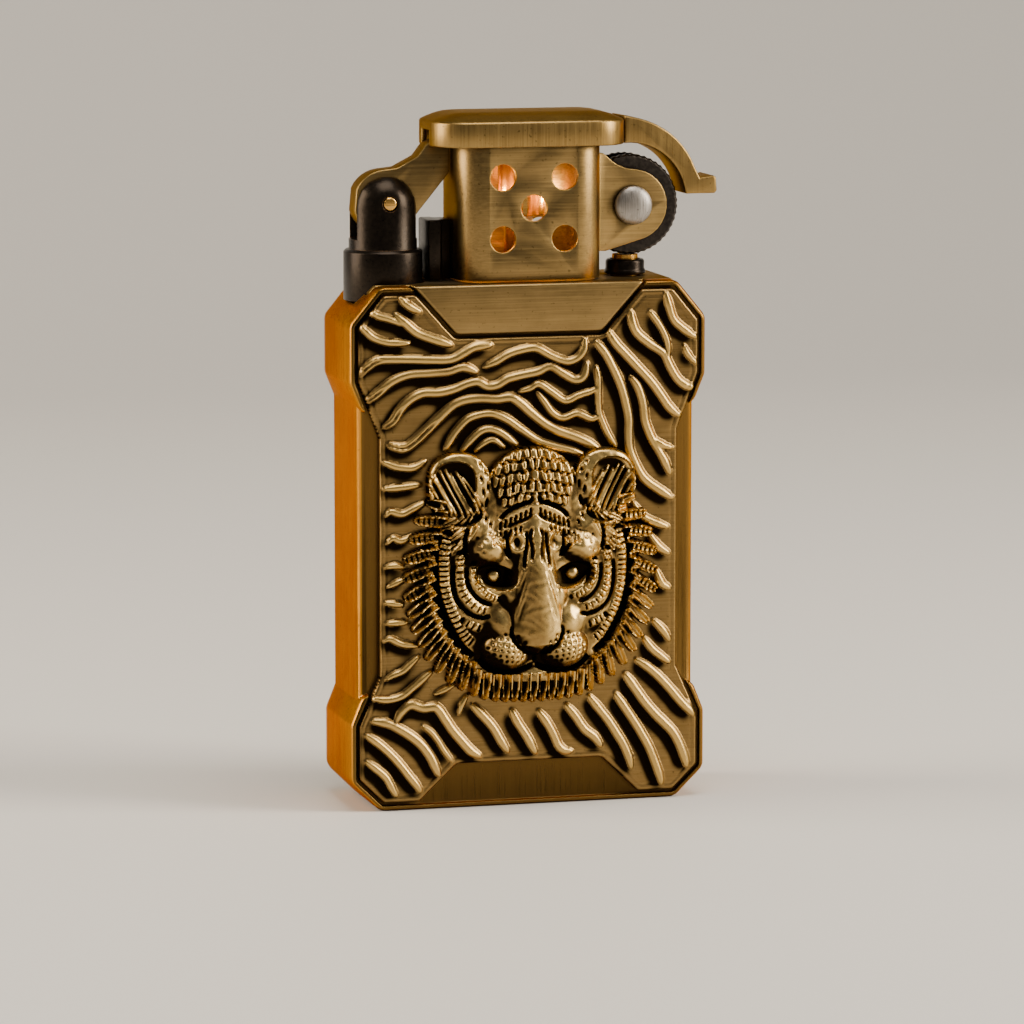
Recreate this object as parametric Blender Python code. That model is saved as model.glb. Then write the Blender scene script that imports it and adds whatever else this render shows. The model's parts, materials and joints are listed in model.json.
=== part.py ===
# Lift-arm petrol pocket lighter with a tiger relief on its front.
# Frame: X across the face, -Y out of the front face, Z up; origin under the middle of the case,
# on the surface that it stands on. Metres.
import math
import bpy
import bmesh

MM = 0.001

# ---- driving sizes ------------------------------------------------------------------------------
# case
CASE_WIDTH = 37.0 * MM          # over the corner bumpers
CASE_HEIGHT = 53.0 * MM         # foot to top deck
CASE_DEPTH = 13.5 * MM          # front plate face to rear plate face
CASE_WALL = 0.8 * MM            # front and rear walls of the tube
SIDE_WALL = 1.3 * MM
BUMPER_STEP = 0.95 * MM         # the tube is this much narrower than the bumpers, each side
BUMPER_HEIGHT = 9.6 * MM        # top bumper: edge to the start of its slope
BUMPER_SLOPE = 3.1 * MM         # height of the slope under (or over) a bumper
FOOT_HEIGHT = 8.9 * MM          # bottom bumper: foot to the start of its slope
TOP_CHAMFER = (3.05 * MM, 3.7 * MM)
FOOT_CHAMFER = (3.0 * MM, 2.95 * MM)
CORNER_RADIUS = 1.3 * MM
RIM = 0.6 * MM                  # border that the bumpers leave round a plate
RIM_DROP = 0.3 * MM             # the border lies this much below the plate
PLATE_THICKNESS = 1.05 * MM
PLATE_WAIST_STEP = 1.85 * MM    # the plate is this much narrower than the tube, each side
PANEL_TOP = 12.1 * MM           # half width of the smooth panel at the top edge
PANEL_BOTTOM = 7.6 * MM         # and at its lower edge
PANEL_HEIGHT = 5.05 * MM
PLATE_RADIUS = 0.7 * MM
FOOT_NOTCH_WIDTH = 12.0 * MM    # half width of the notch in the plate's foot
FOOT_NOTCH_TOP = 7.5 * MM
FOOT_NOTCH_HEIGHT = 4.3 * MM
BASE_THICKNESS = 0.8 * MM

# relief head
EMBLEM_MARGIN = 2.4 * MM        # plate left free beside the head, each side
EMBLEM_CENTRE = 22.9 * MM       # height of the face's middle
EMBLEM_HEIGHT = 27.4 * MM
EMBLEM_DEPTH = 3.6 * MM

# insert
TANK_WALL = 0.45 * MM
DECK_THICKNESS = 1.8 * MM
BRIDGE_THICKNESS = 0.8 * MM
TANK_FLOOR = 2.2 * MM
FELT_THICKNESS = 1.2 * MM
COTTON_TOP = 9.2 * MM           # free height between the packing and the deck

# chimney
CHIMNEY_INSET = 1.75 * MM       # chimney face behind the plate face
CHIMNEY_WALL = 0.45 * MM
CHIMNEY_RADIUS = 2.9 * MM
CHIMNEY_HOLE_RADIUS = 1.35 * MM
WICK_RADIUS = 1.2 * MM
WICK_HEIGHT = 8.6 * MM          # above the deck
SLEEVE_RADIUS = 1.75 * MM
SLEEVE_HEIGHT = 5.2 * MM

# cap
CAP_OVERHANG = 0.7 * MM         # cap beyond the chimney at front and back
CAP_END = 2.5 * MM              # and at its two ends
CAP_WALL = 0.6 * MM
CAP_SKIRT = 2.6 * MM
CAP_CROWN = 0.8 * MM
CAP_OVER_WHEEL = 1.15 * MM
CAP_ROOF = 0.1 * MM             # the roof's inner face below the skirt's rim
CAP_OVER_CHIMNEY = 0.6 * MM
CUP_RADIUS = 2.35 * MM
CUP_WALL = 0.35 * MM
CUP_OVER_SLEEVE = 1.0 * MM      # the cup's rim above the wick sleeve, which leaves it round the wick

# wheel
WHEEL_RADIUS = 5.1 * MM
WHEEL_WIDTH = 3.5 * MM
FLANGE_WIDTH = 0.6 * MM
WHEEL_LIFT = 2.25 * MM          # wheel above the deck
WHEEL_FROM_EDGE = 6.7 * MM      # axle from the case's right side
WHEEL_PROUD = 3.4 * MM          # axle beyond the chimney's end
EAR_RADIUS = 3.6 * MM
EAR_THICKNESS = 0.75 * MM
EAR_GAP = 0.3 * MM              # between the wheel and an ear
AXLE_RADIUS = 0.95 * MM
AXLE_HEAD_RADIUS = 2.0 * MM
AXLE_HEAD_HEIGHT = 0.9 * MM

# flint column
FLINT_RADIUS = 0.95 * MM
FLINT_LENGTH = 5.0 * MM
FLINT_CLEAR = 0.15 * MM         # flint below the flanges' edges
FLINT_TUBE_WALL = 0.3 * MM
COLLAR_RADIUS = 2.1 * MM
COLLAR_HEIGHT = 1.5 * MM
PLUNGER_LENGTH = 3.0 * MM
SCREW_HEAD_RADIUS = 2.2 * MM
SCREW_HEAD_HEIGHT = 0.9 * MM
SCREW_SHANK = 3.4 * MM

# pivot post and arm
POST_COLLAR_ROOM = 0.5 * MM     # deck beyond the collar at front and back
POST_COLLAR_STEP = 0.55 * MM    # the post is this much thinner than its collar
POST_COLLAR_HEIGHT = 3.3 * MM
POST_FROM_EDGE = 4.97 * MM
PIVOT_HEIGHT = 8.0 * MM         # above the deck
PIN_RADIUS = 0.72 * MM
ARM_WIDTH = 2.7 * MM
ARM_SHEET = 0.5 * MM
ARM_LOBE = 3.3 * MM
ARM_FLAT = 3.1 * MM             # lobe's flats, where the detent rests
SLOT_SIDE_GAP = 0.25 * MM
DETENT_RADIUS = 1.0 * MM
DETENT_LENGTH = 2.4 * MM
DETENT_PROUD = 0.3 * MM         # the plunger's tip over the slot's floor
BLOCK_HEIGHT = 6.1 * MM
BLOCK_WIDTH = 2.5 * MM          # stop block between the post's collar and the chimney

# tail
TAIL_WIDTH = 4.8 * MM
TAIL_CLEAR = 0.9 * MM           # inner curve over the wheel
TAIL_ROOT = 2.8 * MM
TAIL_TIP = 1.5 * MM
TAB_LENGTH = 3.3 * MM
TAB_HEIGHT = 1.8 * MM

# clearances
SEAT = 0.2 * MM                 # between pieces that rest on each other
SLIDE = 0.2 * MM                # between the insert and the case
SEAM = 0.12 * MM                # round the smooth panels
STACK = 0.1 * MM                # between a spring's end and what it pushes
RUN = 0.06 * MM                 # radial, between a pin and its bore

# ---- derived places -----------------------------------------------------------------------------
HALF_W = CASE_WIDTH / 2
HALF_D = CASE_DEPTH / 2
TUBE_W = HALF_W - BUMPER_STEP
TUBE_D = HALF_D - PLATE_THICKNESS - SEAT
BUMPER_D = HALF_D - RIM_DROP
CAVITY_W = TUBE_W - SIDE_WALL
CAVITY_D = TUBE_D - CASE_WALL
INSERT_W = CAVITY_W - SLIDE
INSERT_D = CAVITY_D - SLIDE
POST_COLLAR_RADIUS = INSERT_D - POST_COLLAR_ROOM
POST_RADIUS = POST_COLLAR_RADIUS - POST_COLLAR_STEP
PLATE_WAIST = TUBE_W - PLATE_WAIST_STEP
DECK = CASE_HEIGHT
TANK_TOP = DECK - DECK_THICKNESS - SEAT

POST_X = -HALF_W + POST_FROM_EDGE
PIVOT_Z = DECK + PIVOT_HEIGHT
WHEEL_X = HALF_W - WHEEL_FROM_EDGE
WHEEL_Z = DECK + WHEEL_LIFT + WHEEL_RADIUS
BLOCK_X0 = POST_X + POST_COLLAR_RADIUS + SEAT
CHIMNEY_X0 = BLOCK_X0 + BLOCK_WIDTH + SEAT
CHIMNEY_X1 = WHEEL_X - WHEEL_PROUD
CHIMNEY_X = (CHIMNEY_X0 + CHIMNEY_X1) / 2
CHIMNEY_D = HALF_D - CHIMNEY_INSET
CAP_Z0 = WHEEL_Z + WHEEL_RADIUS + CAP_OVER_WHEEL
CAP_RIM = CAP_Z0 + CAP_SKIRT
CAP_TOP = CAP_RIM + CAP_CROWN
CAP_CEILING = CAP_RIM - CAP_ROOF
CHIMNEY_TOP = CAP_CEILING - CAP_OVER_CHIMNEY
CAP_X0 = CHIMNEY_X0 - CAP_END
CAP_X1 = CHIMNEY_X1 + CAP_END
CAP_D = CHIMNEY_D + CAP_OVERHANG
FLINT_TUBE_RADIUS = FLINT_RADIUS + RUN + FLINT_TUBE_WALL
FLINT_TOP = WHEEL_Z - WHEEL_RADIUS - FLINT_CLEAR
PLUNGER_TOP = FLINT_TOP - FLINT_LENGTH - STACK
SPRING_TOP = PLUNGER_TOP - PLUNGER_LENGTH - STACK
SCREW_TOP = TANK_FLOOR + SCREW_SHANK
SLOT_HALF = ARM_WIDTH / 2 + SLOT_SIDE_GAP
DETENT_TOP = PIVOT_Z - ARM_LOBE - RUN
SLOT_FLOOR = DETENT_TOP - DETENT_PROUD
POST_FOOT = TANK_TOP + SEAT

MATERIALS = {
    "antique_brass": ((0.36, 0.25, 0.10), 0.36, 1.0),
    "brushed_gold": ((0.72, 0.45, 0.16), 0.32, 1.0),
    "gunmetal": ((0.045, 0.036, 0.030), 0.30, 1.0),
    "dark_steel": ((0.10, 0.095, 0.09), 0.42, 1.0),
    "rivet_steel": ((0.45, 0.44, 0.43), 0.45, 1.0),
    "tank_steel": ((0.55, 0.55, 0.55), 0.35, 1.0),
    "bright_brass": ((0.80, 0.55, 0.22), 0.28, 1.0),
    "spring_steel": ((0.50, 0.50, 0.52), 0.30, 1.0),
    "cotton": ((0.80, 0.77, 0.70), 0.95, 0.0),
    "felt": ((0.55, 0.52, 0.46), 0.95, 0.0),
    "wick_cord": ((0.70, 0.66, 0.58), 0.90, 0.0),
    "flint_alloy": ((0.22, 0.20, 0.19), 0.55, 1.0),
}


def clear_scene():
    for old in list(bpy.data.objects):
        bpy.data.objects.remove(old, do_unlink=True)


def finish_of(name, slot):
    colour, roughness, metallic = MATERIALS[slot]
    finish = bpy.data.materials.new(name + "_" + slot)
    finish.use_nodes = True
    shader = finish.node_tree.nodes["Principled BSDF"]
    shader.inputs["Base Color"].default_value = (*colour, 1.0)
    shader.inputs["Roughness"].default_value = roughness
    shader.inputs["Metallic"].default_value = metallic
    return finish


def inset(outline, distance):
    """The same outline, anticlockwise, with every side moved inwards."""
    if not distance:
        return list(outline)
    sides = []
    count = len(outline)
    for i in range(count):
        (x0, y0), (x1, y1) = outline[i], outline[(i + 1) % count]
        length = math.hypot(x1 - x0, y1 - y0)
        nx, ny = -(y1 - y0) / length, (x1 - x0) / length
        sides.append((nx, ny, nx * x0 + ny * y0 + distance))
    moved = []
    for i in range(count):
        a, b, c = sides[i - 1]
        d, e, f = sides[i]
        det = a * e - b * d
        if abs(det) < 1e-9:
            x, y = outline[i]
            moved.append((x + d * distance, y + e * distance))
        else:
            moved.append(((c * e - b * f) / det, (a * f - c * d) / det))
    return moved


def rounded(corners, radius, steps=4, keep=()):
    """An outline with each corner, but for those kept sharp, turned into an arc."""
    points = []
    count = len(corners)
    for i in range(count):
        if i in keep:
            points.append(corners[i])
            continue
        p, q, r = corners[i - 1], corners[i], corners[(i + 1) % count]
        into = (p[0] - q[0], p[1] - q[1])
        out = (r[0] - q[0], r[1] - q[1])
        len_in, len_out = math.hypot(*into), math.hypot(*out)
        into = (into[0] / len_in, into[1] / len_in)
        out = (out[0] / len_out, out[1] / len_out)
        opening = math.acos(max(-1.0, min(1.0, into[0] * out[0] + into[1] * out[1])))
        reach = min(radius / math.tan(opening / 2), 0.45 * len_in, 0.45 * len_out)
        arc = reach * math.tan(opening / 2)
        middle = (into[0] + out[0], into[1] + out[1])
        length = math.hypot(*middle)
        far = arc / math.sin(opening / 2)
        centre = (q[0] + middle[0] / length * far, q[1] + middle[1] / length * far)
        start = (q[0] + into[0] * reach, q[1] + into[1] * reach)
        end = (q[0] + out[0] * reach, q[1] + out[1] * reach)
        a0 = math.atan2(start[1] - centre[1], start[0] - centre[0])
        a1 = math.atan2(end[1] - centre[1], end[0] - centre[0])
        turn = (a1 - a0 + math.pi) % (2 * math.pi) - math.pi
        for step in range(steps + 1):
            angle = a0 + turn * step / steps
            points.append((centre[0] + arc * math.cos(angle), centre[1] + arc * math.sin(angle)))
    return points


def mirrored(right_side):
    """A whole anticlockwise outline from its right side, given from the bottom up."""
    return right_side + [(-x, z) for x, z in reversed(right_side)]


def rectangle(x0, x1, y0, y1):
    return [(x0, y0), (x1, y0), (x1, y1), (x0, y1)]


def arc(centre, radius, start, end, steps):
    """Points along an arc, angles in degrees."""
    points = []
    for step in range(steps + 1):
        angle = math.radians(start + (end - start) * step / steps)
        points.append((centre[0] + radius * math.cos(angle), centre[1] + radius * math.sin(angle)))
    return points


def make_object(name, verts, faces, slot, sharp=32, hidden=False):
    mesh = bpy.data.meshes.new(name)
    bm = bmesh.new()
    made = [bm.verts.new(v) for v in verts]
    for face in faces:
        bm.faces.new([made[i] for i in face])
    bmesh.ops.recalc_face_normals(bm, faces=bm.faces)
    bm.to_mesh(mesh)
    bm.free()
    thing = bpy.data.objects.new(name, mesh)
    bpy.context.scene.collection.objects.link(thing)
    if hidden:
        thing.hide_render = True
        thing.display_type = "WIRE"
    else:
        mesh.materials.append(finish_of(name, slot))
        mesh.shade_smooth()
        mesh.set_sharp_from_angle(angle=math.radians(sharp))
    return thing


def loft(name, outline, stations, slot=None, axis="Z", ring=False, **more):
    """One solid through copies of an outline; a station is (place along the axis, inset)."""
    verts = []
    count = len(outline)
    for place, distance in stations:
        for u, v in inset(outline, distance):
            verts.append((u, v, place) if axis == "Z" else (u, place, v))
    faces = []
    levels = len(stations)
    for level in range(levels if ring else levels - 1):
        low, high = level * count, ((level + 1) % levels) * count
        for i in range(count):
            j = (i + 1) % count
            faces.append((low + i, low + j, high + j, high + i))
    if not ring:
        faces.append(tuple(range(count)))
        faces.append(tuple(range((levels - 1) * count, levels * count)))
    return make_object(name, verts, faces, slot, hidden=slot is None, **more)


def turned(name, profile, centre, slot=None, axis="Z", segments=32, bored=False, **more):
    """A turned solid; profile is (radius, place along the axis), and a bored one is a ring."""
    verts = []
    rows = []
    for radius, place in profile:
        row = []
        spots = segments if radius > 0 else 1
        for i in range(spots):
            angle = 2 * math.pi * i / segments
            a, b = radius * math.cos(angle), radius * math.sin(angle)
            if axis == "Z":
                verts.append((centre[0] + a, centre[1] + b, place))
            else:
                verts.append((centre[0] + a, place, centre[1] + b))
            row.append(len(verts) - 1)
        rows.append(row)
    faces = []
    pairs = list(zip(rows, rows[1:] + rows[:1])) if bored else list(zip(rows, rows[1:]))
    for low, high in pairs:
        for i in range(segments):
            j = (i + 1) % segments
            face = [low[i % len(low)], low[j % len(low)], high[j % len(high)], high[i % len(high)]]
            faces.append(tuple(dict.fromkeys(face)))
    return make_object(name, verts, faces, slot, hidden=slot is None, **more)


def boolean(target, tool, operation="DIFFERENCE"):
    step = target.modifiers.new(tool.name, "BOOLEAN")
    step.operation = operation
    step.object = tool
    step.solver = "EXACT"
    return target


def cut_bores(target, spots, radius, y0, y1, segments=20):
    """Round holes along Y through a piece, one cutter for each."""
    for number, (x, z) in enumerate(spots):
        bore = turned(f"{target.name}_bore_{number}", [(0, y0), (radius, y0), (radius, y1), (0, y1)],
                      (x, z), axis="Y", segments=segments)
        boolean(target, bore)


def coil(name, centre, z0, z1, radius, wire, turns, slot):
    """A compression spring, flat at both ends of its run."""
    line = bpy.data.curves.new(name, "CURVE")
    line.dimensions = "3D"
    line.bevel_depth = wire
    line.bevel_resolution = 0
    line.use_fill_caps = True
    per_turn = 10
    count = int(turns * per_turn) + 1
    spline = line.splines.new("POLY")
    spline.points.add(count - 1)
    low, high = z0 + wire, z1 - wire
    for i in range(count):
        angle = 2 * math.pi * i / per_turn
        z = low + (high - low) * i / (count - 1)
        x = centre[0] + radius * math.cos(angle)
        y = centre[1] + radius * math.sin(angle)
        spline.points[i].co = (x, y, z, 1.0)
    thing = bpy.data.objects.new(name, line)
    bpy.context.scene.collection.objects.link(thing)
    line.materials.append(finish_of(name, slot))
    return thing


# ---- case ---------------------------------------------------------------------------------------
def bumper_outline(top):
    """Front view of the two top bumpers, or of the two at the foot, as one outline."""
    if top:
        chamfer_x, chamfer_z = TOP_CHAMFER
        side = [(TUBE_W - 0.3 * MM, DECK - BUMPER_HEIGHT - BUMPER_SLOPE),
                (HALF_W, DECK - BUMPER_HEIGHT),
                (HALF_W, DECK - chamfer_z),
                (HALF_W - chamfer_x, DECK)]
        return mirrored(side)
    chamfer_x, chamfer_z = FOOT_CHAMFER
    side = [(HALF_W - chamfer_x, 0.0),
            (HALF_W, chamfer_z),
            (HALF_W, FOOT_HEIGHT),
            (TUBE_W - 0.3 * MM, FOOT_HEIGHT + BUMPER_SLOPE)]
    return mirrored(side)


def face_outline(border):
    """Front view of a plate: the bumpers' outline less a border, and a narrow waist between."""
    top_x, top_z = TOP_CHAMFER
    foot_x, foot_z = FOOT_CHAMFER
    waist = PLATE_WAIST + border
    waist_low = FOOT_HEIGHT + BUMPER_SLOPE * 1.6
    waist_high = DECK - BUMPER_HEIGHT - BUMPER_SLOPE * 1.84
    side = [(HALF_W - foot_x, 0.0),
            (HALF_W, foot_z),
            (HALF_W, FOOT_HEIGHT),
            (waist, waist_low),
            (waist, waist_high),
            (HALF_W, DECK - BUMPER_HEIGHT),
            (HALF_W, DECK - top_z),
            (HALF_W - top_x, DECK)]
    return inset(mirrored(side), border)


def panel_edge(z, gap):
    """Half width of the smooth panel at a height, less a gap square to its edge."""
    lean = (PANEL_TOP - PANEL_BOTTOM) / PANEL_HEIGHT
    return PANEL_TOP - lean * (DECK - z) - gap * math.hypot(1.0, lean)


def panel_outline(low, gap):
    """The smooth panel between the top bumpers, from a height up to the deck."""
    return mirrored([(panel_edge(low, gap), low), (panel_edge(DECK, gap), DECK)])


def plate_outline():
    """Front plate: the face outline, notched for the panel above and for the foot below."""
    outline = face_outline(RIM)
    foot_edge = min(z for x, z in outline)
    top_edge = max(z for x, z in outline)
    right = [(x, z) for x, z in outline if x > 0]
    foot_lean = (FOOT_NOTCH_WIDTH - FOOT_NOTCH_TOP) / FOOT_NOTCH_HEIGHT
    foot_x = FOOT_NOTCH_WIDTH - foot_lean * foot_edge
    panel_x = panel_edge(top_edge, 0.0)
    side = [(FOOT_NOTCH_TOP, FOOT_NOTCH_HEIGHT), (foot_x, foot_edge)]
    side += right
    side += [(panel_x, top_edge), (PANEL_BOTTOM, DECK - PANEL_HEIGHT)]
    return mirrored(side)


def bumper_stations():
    """Front edge turned small, rear edge turned large."""
    front = [(-BUMPER_D, 0.45 * MM), (-BUMPER_D + 0.12 * MM, 0.16 * MM), (-BUMPER_D + 0.45 * MM, 0.0)]
    rear = []
    for angle in (0, 30, 60, 85):
        place = BUMPER_D - 2.2 * MM * (1 - math.sin(math.radians(angle)))
        rear.append((place, 1.0 * MM * (1 - math.cos(math.radians(angle)))))
    return front + rear


def tube_outline():
    """Front view of the tube, its corners kept just inside the bumpers' chamfers."""
    inside = 0.25 * MM
    top_x, top_z = TOP_CHAMFER
    foot_x, foot_z = FOOT_CHAMFER
    top_run = TUBE_W - (HALF_W - top_x) + inside
    foot_run = TUBE_W - (HALF_W - foot_x) + inside
    side = [(TUBE_W - foot_run, inside), (TUBE_W, inside + foot_run * foot_z / foot_x),
            (TUBE_W, DECK - inside - top_run * top_z / top_x), (TUBE_W - top_run, DECK - inside)]
    return mirrored(side)


def make_case():
    turn = [(-TUBE_D, 0.8 * MM), (-TUBE_D + 0.12 * MM, 0.4 * MM), (-TUBE_D + 0.4 * MM, 0.12 * MM),
            (-TUBE_D + 0.8 * MM, 0.0)]
    turn += [(-y, d) for y, d in reversed(turn)]
    shell = loft("case_shell", tube_outline(), turn, "brushed_gold", axis="Y")
    for name, top in (("top_bumpers", True), ("foot_bumpers", False)):
        bumpers = loft(name, rounded(bumper_outline(top), CORNER_RADIUS), bumper_stations(), axis="Y")
        boolean(shell, bumpers, "UNION")
    pocket = rounded(inset(face_outline(RIM), -0.15 * MM), PLATE_RADIUS)
    for name, y0, y1 in (("front_pocket", -HALF_D - MM, -TUBE_D), ("rear_pocket", TUBE_D, HALF_D + MM)):
        boolean(shell, loft(name, pocket, [(y0, 0.0), (y1, 0.0)], axis="Y"))
    room = rectangle(-CAVITY_W, CAVITY_W, -CAVITY_D, CAVITY_D)
    boolean(shell, loft("insert_room", rounded(room, 0.6 * MM, 3),
                        [(BASE_THICKNESS, 0.0), (DECK + 5 * MM, 0.0)]))
    low = DECK - BRIDGE_THICKNESS - SEAT
    lowered = mirrored([(panel_edge(low, -SLIDE), low), (panel_edge(DECK + MM, -SLIDE), DECK + MM)])
    boolean(shell, loft("bridge_room", lowered, [(-HALF_D - MM, 0.0), (HALF_D + MM, 0.0)], axis="Y"))
    notch = [(0, TANK_TOP), (POST_COLLAR_RADIUS + SLIDE, TANK_TOP),
             (POST_COLLAR_RADIUS + SLIDE, DECK + MM), (0, DECK + MM)]
    boolean(shell, turned("post_room", notch, (POST_X, 0.0), segments=40))

    edge = [(-HALF_D, 0.22 * MM), (-HALF_D + 0.12 * MM, 0.05 * MM), (-HALF_D + 0.3 * MM, 0.0),
            (-HALF_D + PLATE_THICKNESS, 0.0)]
    plate = rounded(plate_outline(), PLATE_RADIUS, 3)
    loft("front_relief_plate", plate, edge, "antique_brass", axis="Y")
    loft("rear_plate", plate, [(-y, d) for y, d in edge], "antique_brass", axis="Y")


def head_height(x, z):
    """Height of the relief head over its rim, from five soft swellings; x and z in millimetres."""
    swells = ((0.0, 0.0, 9.6, 10.5, 1.25),       # skull
              (0.0, 9.0, 6.0, 4.6, 0.45),        # crown
              (0.0, -5.2, 2.4, 6.2, 0.95),       # nose
              (0.0, -8.6, 4.6, 3.0, 0.75),       # muzzle
              (0.0, -3.0, 12.4, 11.0, 0.35))     # ruff
    total = 0.0
    for cx, cz, wx, wz, height in swells:
        total += height * math.exp(-((x - cx) / wx) ** 2 - ((z - cz) / wz) ** 2)
    return total


def make_emblem():
    """The tiger's head as one soft relief: a ring of rays from the middle of the face."""
    rays, rings = 48, 9
    half_w = PLATE_WAIST - EMBLEM_MARGIN
    half_h = EMBLEM_HEIGHT / 2
    back = -HALF_D - 0.1 * MM
    rim = 0.5 * MM
    tallest = max(head_height(0.0, z / 10) for z in range(-120, 120))

    def edge(angle):
        bulge = 1.0
        for ear in (math.radians(52), math.radians(128)):
            bulge += 0.10 * math.exp(-((angle - ear) / 0.20) ** 2)
        return half_w * math.cos(angle) * bulge, half_h * math.sin(angle) * bulge

    limit = half_h / max(edge(math.radians(d))[1] for d in range(30, 151))
    verts = [(0.0, back, EMBLEM_CENTRE),
             (0.0, back - rim - (EMBLEM_DEPTH - rim) * head_height(0, 0) / tallest, EMBLEM_CENTRE)]
    faces = []
    for ray in range(rays):
        ex, ez = edge(2 * math.pi * ray / rays)
        ez *= limit if ez > 0 else 1.0
        verts.append((ex, back, EMBLEM_CENTRE + ez))
        for ring in range(1, rings + 1):
            share = ring / rings
            x, z = ex * share, ez * share
            rise = (EMBLEM_DEPTH - rim) * head_height(x / MM, z / MM) / tallest
            rise *= math.cos(math.pi / 2 * share ** 4)
            verts.append((x, back - rim - rise, EMBLEM_CENTRE + z))
    row = rings + 1
    for ray in range(rays):
        here = 2 + ray * row
        there = 2 + ((ray + 1) % rays) * row
        faces.append((0, here, there))
        faces.append((1, here + 1, there + 1))
        for ring in range(1, rings):
            faces.append((here + ring, here + ring + 1, there + ring + 1, there + ring))
        faces.append((here, here + rings, there + rings, there))
    make_object("tiger_head_emblem", verts, faces, "antique_brass", sharp=60)


# ---- insert -------------------------------------------------------------------------------------
def make_tank():
    body = rounded(rectangle(-INSERT_W, INSERT_W, -INSERT_D, INSERT_D), 0.5 * MM, 3)
    inside = TANK_TOP - 0.6 * MM
    tank = loft("insert_tank", body, [(inside, TANK_WALL), (TANK_FLOOR, TANK_WALL), (TANK_FLOOR, 0.0),
                                      (TANK_TOP, 0.0)], "tank_steel")
    for name, x, radius in (("wick_passage", CHIMNEY_X, WICK_RADIUS + SEAT),
                            ("flint_passage", WHEEL_X, FLINT_TUBE_RADIUS + SEAT)):
        passage = [(0, inside - MM), (radius, inside - MM), (radius, TANK_TOP + MM), (0, TANK_TOP + MM)]
        boolean(tank, turned(name, passage, (x, 0.0), segments=20))
    felt_top = TANK_FLOOR + SEAT + FELT_THICKNESS
    free_w = INSERT_W - TANK_WALL - SEAT
    free_d = INSERT_D - TANK_WALL - SEAT
    soft = rounded(rectangle(-free_w, free_w, -free_d, free_d), 0.4 * MM, 3)
    felt = loft("felt_pad", soft, [(TANK_FLOOR + SEAT, 0.0), (felt_top, 0.0)], "felt")
    cotton = loft("cotton_packing", soft, [(felt_top + SEAT, 0.0), (DECK - COTTON_TOP, 0.0)], "cotton")
    for wad in (felt, cotton):
        room = FLINT_TUBE_RADIUS + SEAT
        bore = turned(wad.name + "_bore", [(0, 0.0), (room, 0.0), (room, DECK), (0, DECK)],
                      (WHEEL_X, 0.0), segments=20)
        boolean(wad, bore)


def make_deck():
    """Top plate of the insert: it bridges the case's walls and hangs down as two smooth panels."""
    top_x, top_z = TOP_CHAMFER
    lean = top_x / top_z
    low = DECK - DECK_THICKNESS
    shoulder = DECK - (INSERT_W - (HALF_W - top_x)) / lean
    front = mirrored([(INSERT_W, low), (INSERT_W, shoulder), (HALF_W - top_x, DECK)])
    deck = loft("top_deck", front, [(-INSERT_D, 0.0), (INSERT_D, 0.0)], "antique_brass", axis="Y")
    bridge = panel_outline(DECK - BRIDGE_THICKNESS, SEAM)
    boolean(deck, loft("deck_bridge", bridge, [(-TUBE_D - 0.5 * MM, 0.0), (TUBE_D + 0.5 * MM, 0.0)],
                       axis="Y"), "UNION")
    panel = rounded(panel_outline(DECK - PANEL_HEIGHT + SEAM, SEAM), PLATE_RADIUS + SEAM, 3, keep=(1, 2))
    for name, side in (("front_panel", -1), ("rear_panel", 1)):
        run = [(side * (TUBE_D + SEAT), 0.0), (side * (HALF_D - 0.25 * MM), 0.0),
               (side * (HALF_D - 0.05 * MM), 0.2 * MM)]
        boolean(deck, loft(name, panel, run, axis="Y"), "UNION")
    for name, x, radius in (("deck_wick_hole", CHIMNEY_X, WICK_RADIUS + SEAT),
                            ("deck_flint_hole", WHEEL_X, FLINT_TUBE_RADIUS + SEAT),
                            ("deck_post_hole", POST_X, POST_COLLAR_RADIUS + SEAT)):
        hole = [(0, low - MM), (radius, low - MM), (radius, DECK + MM), (0, DECK + MM)]
        boolean(deck, turned(name, hole, (x, 0.0), segments=32))


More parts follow.
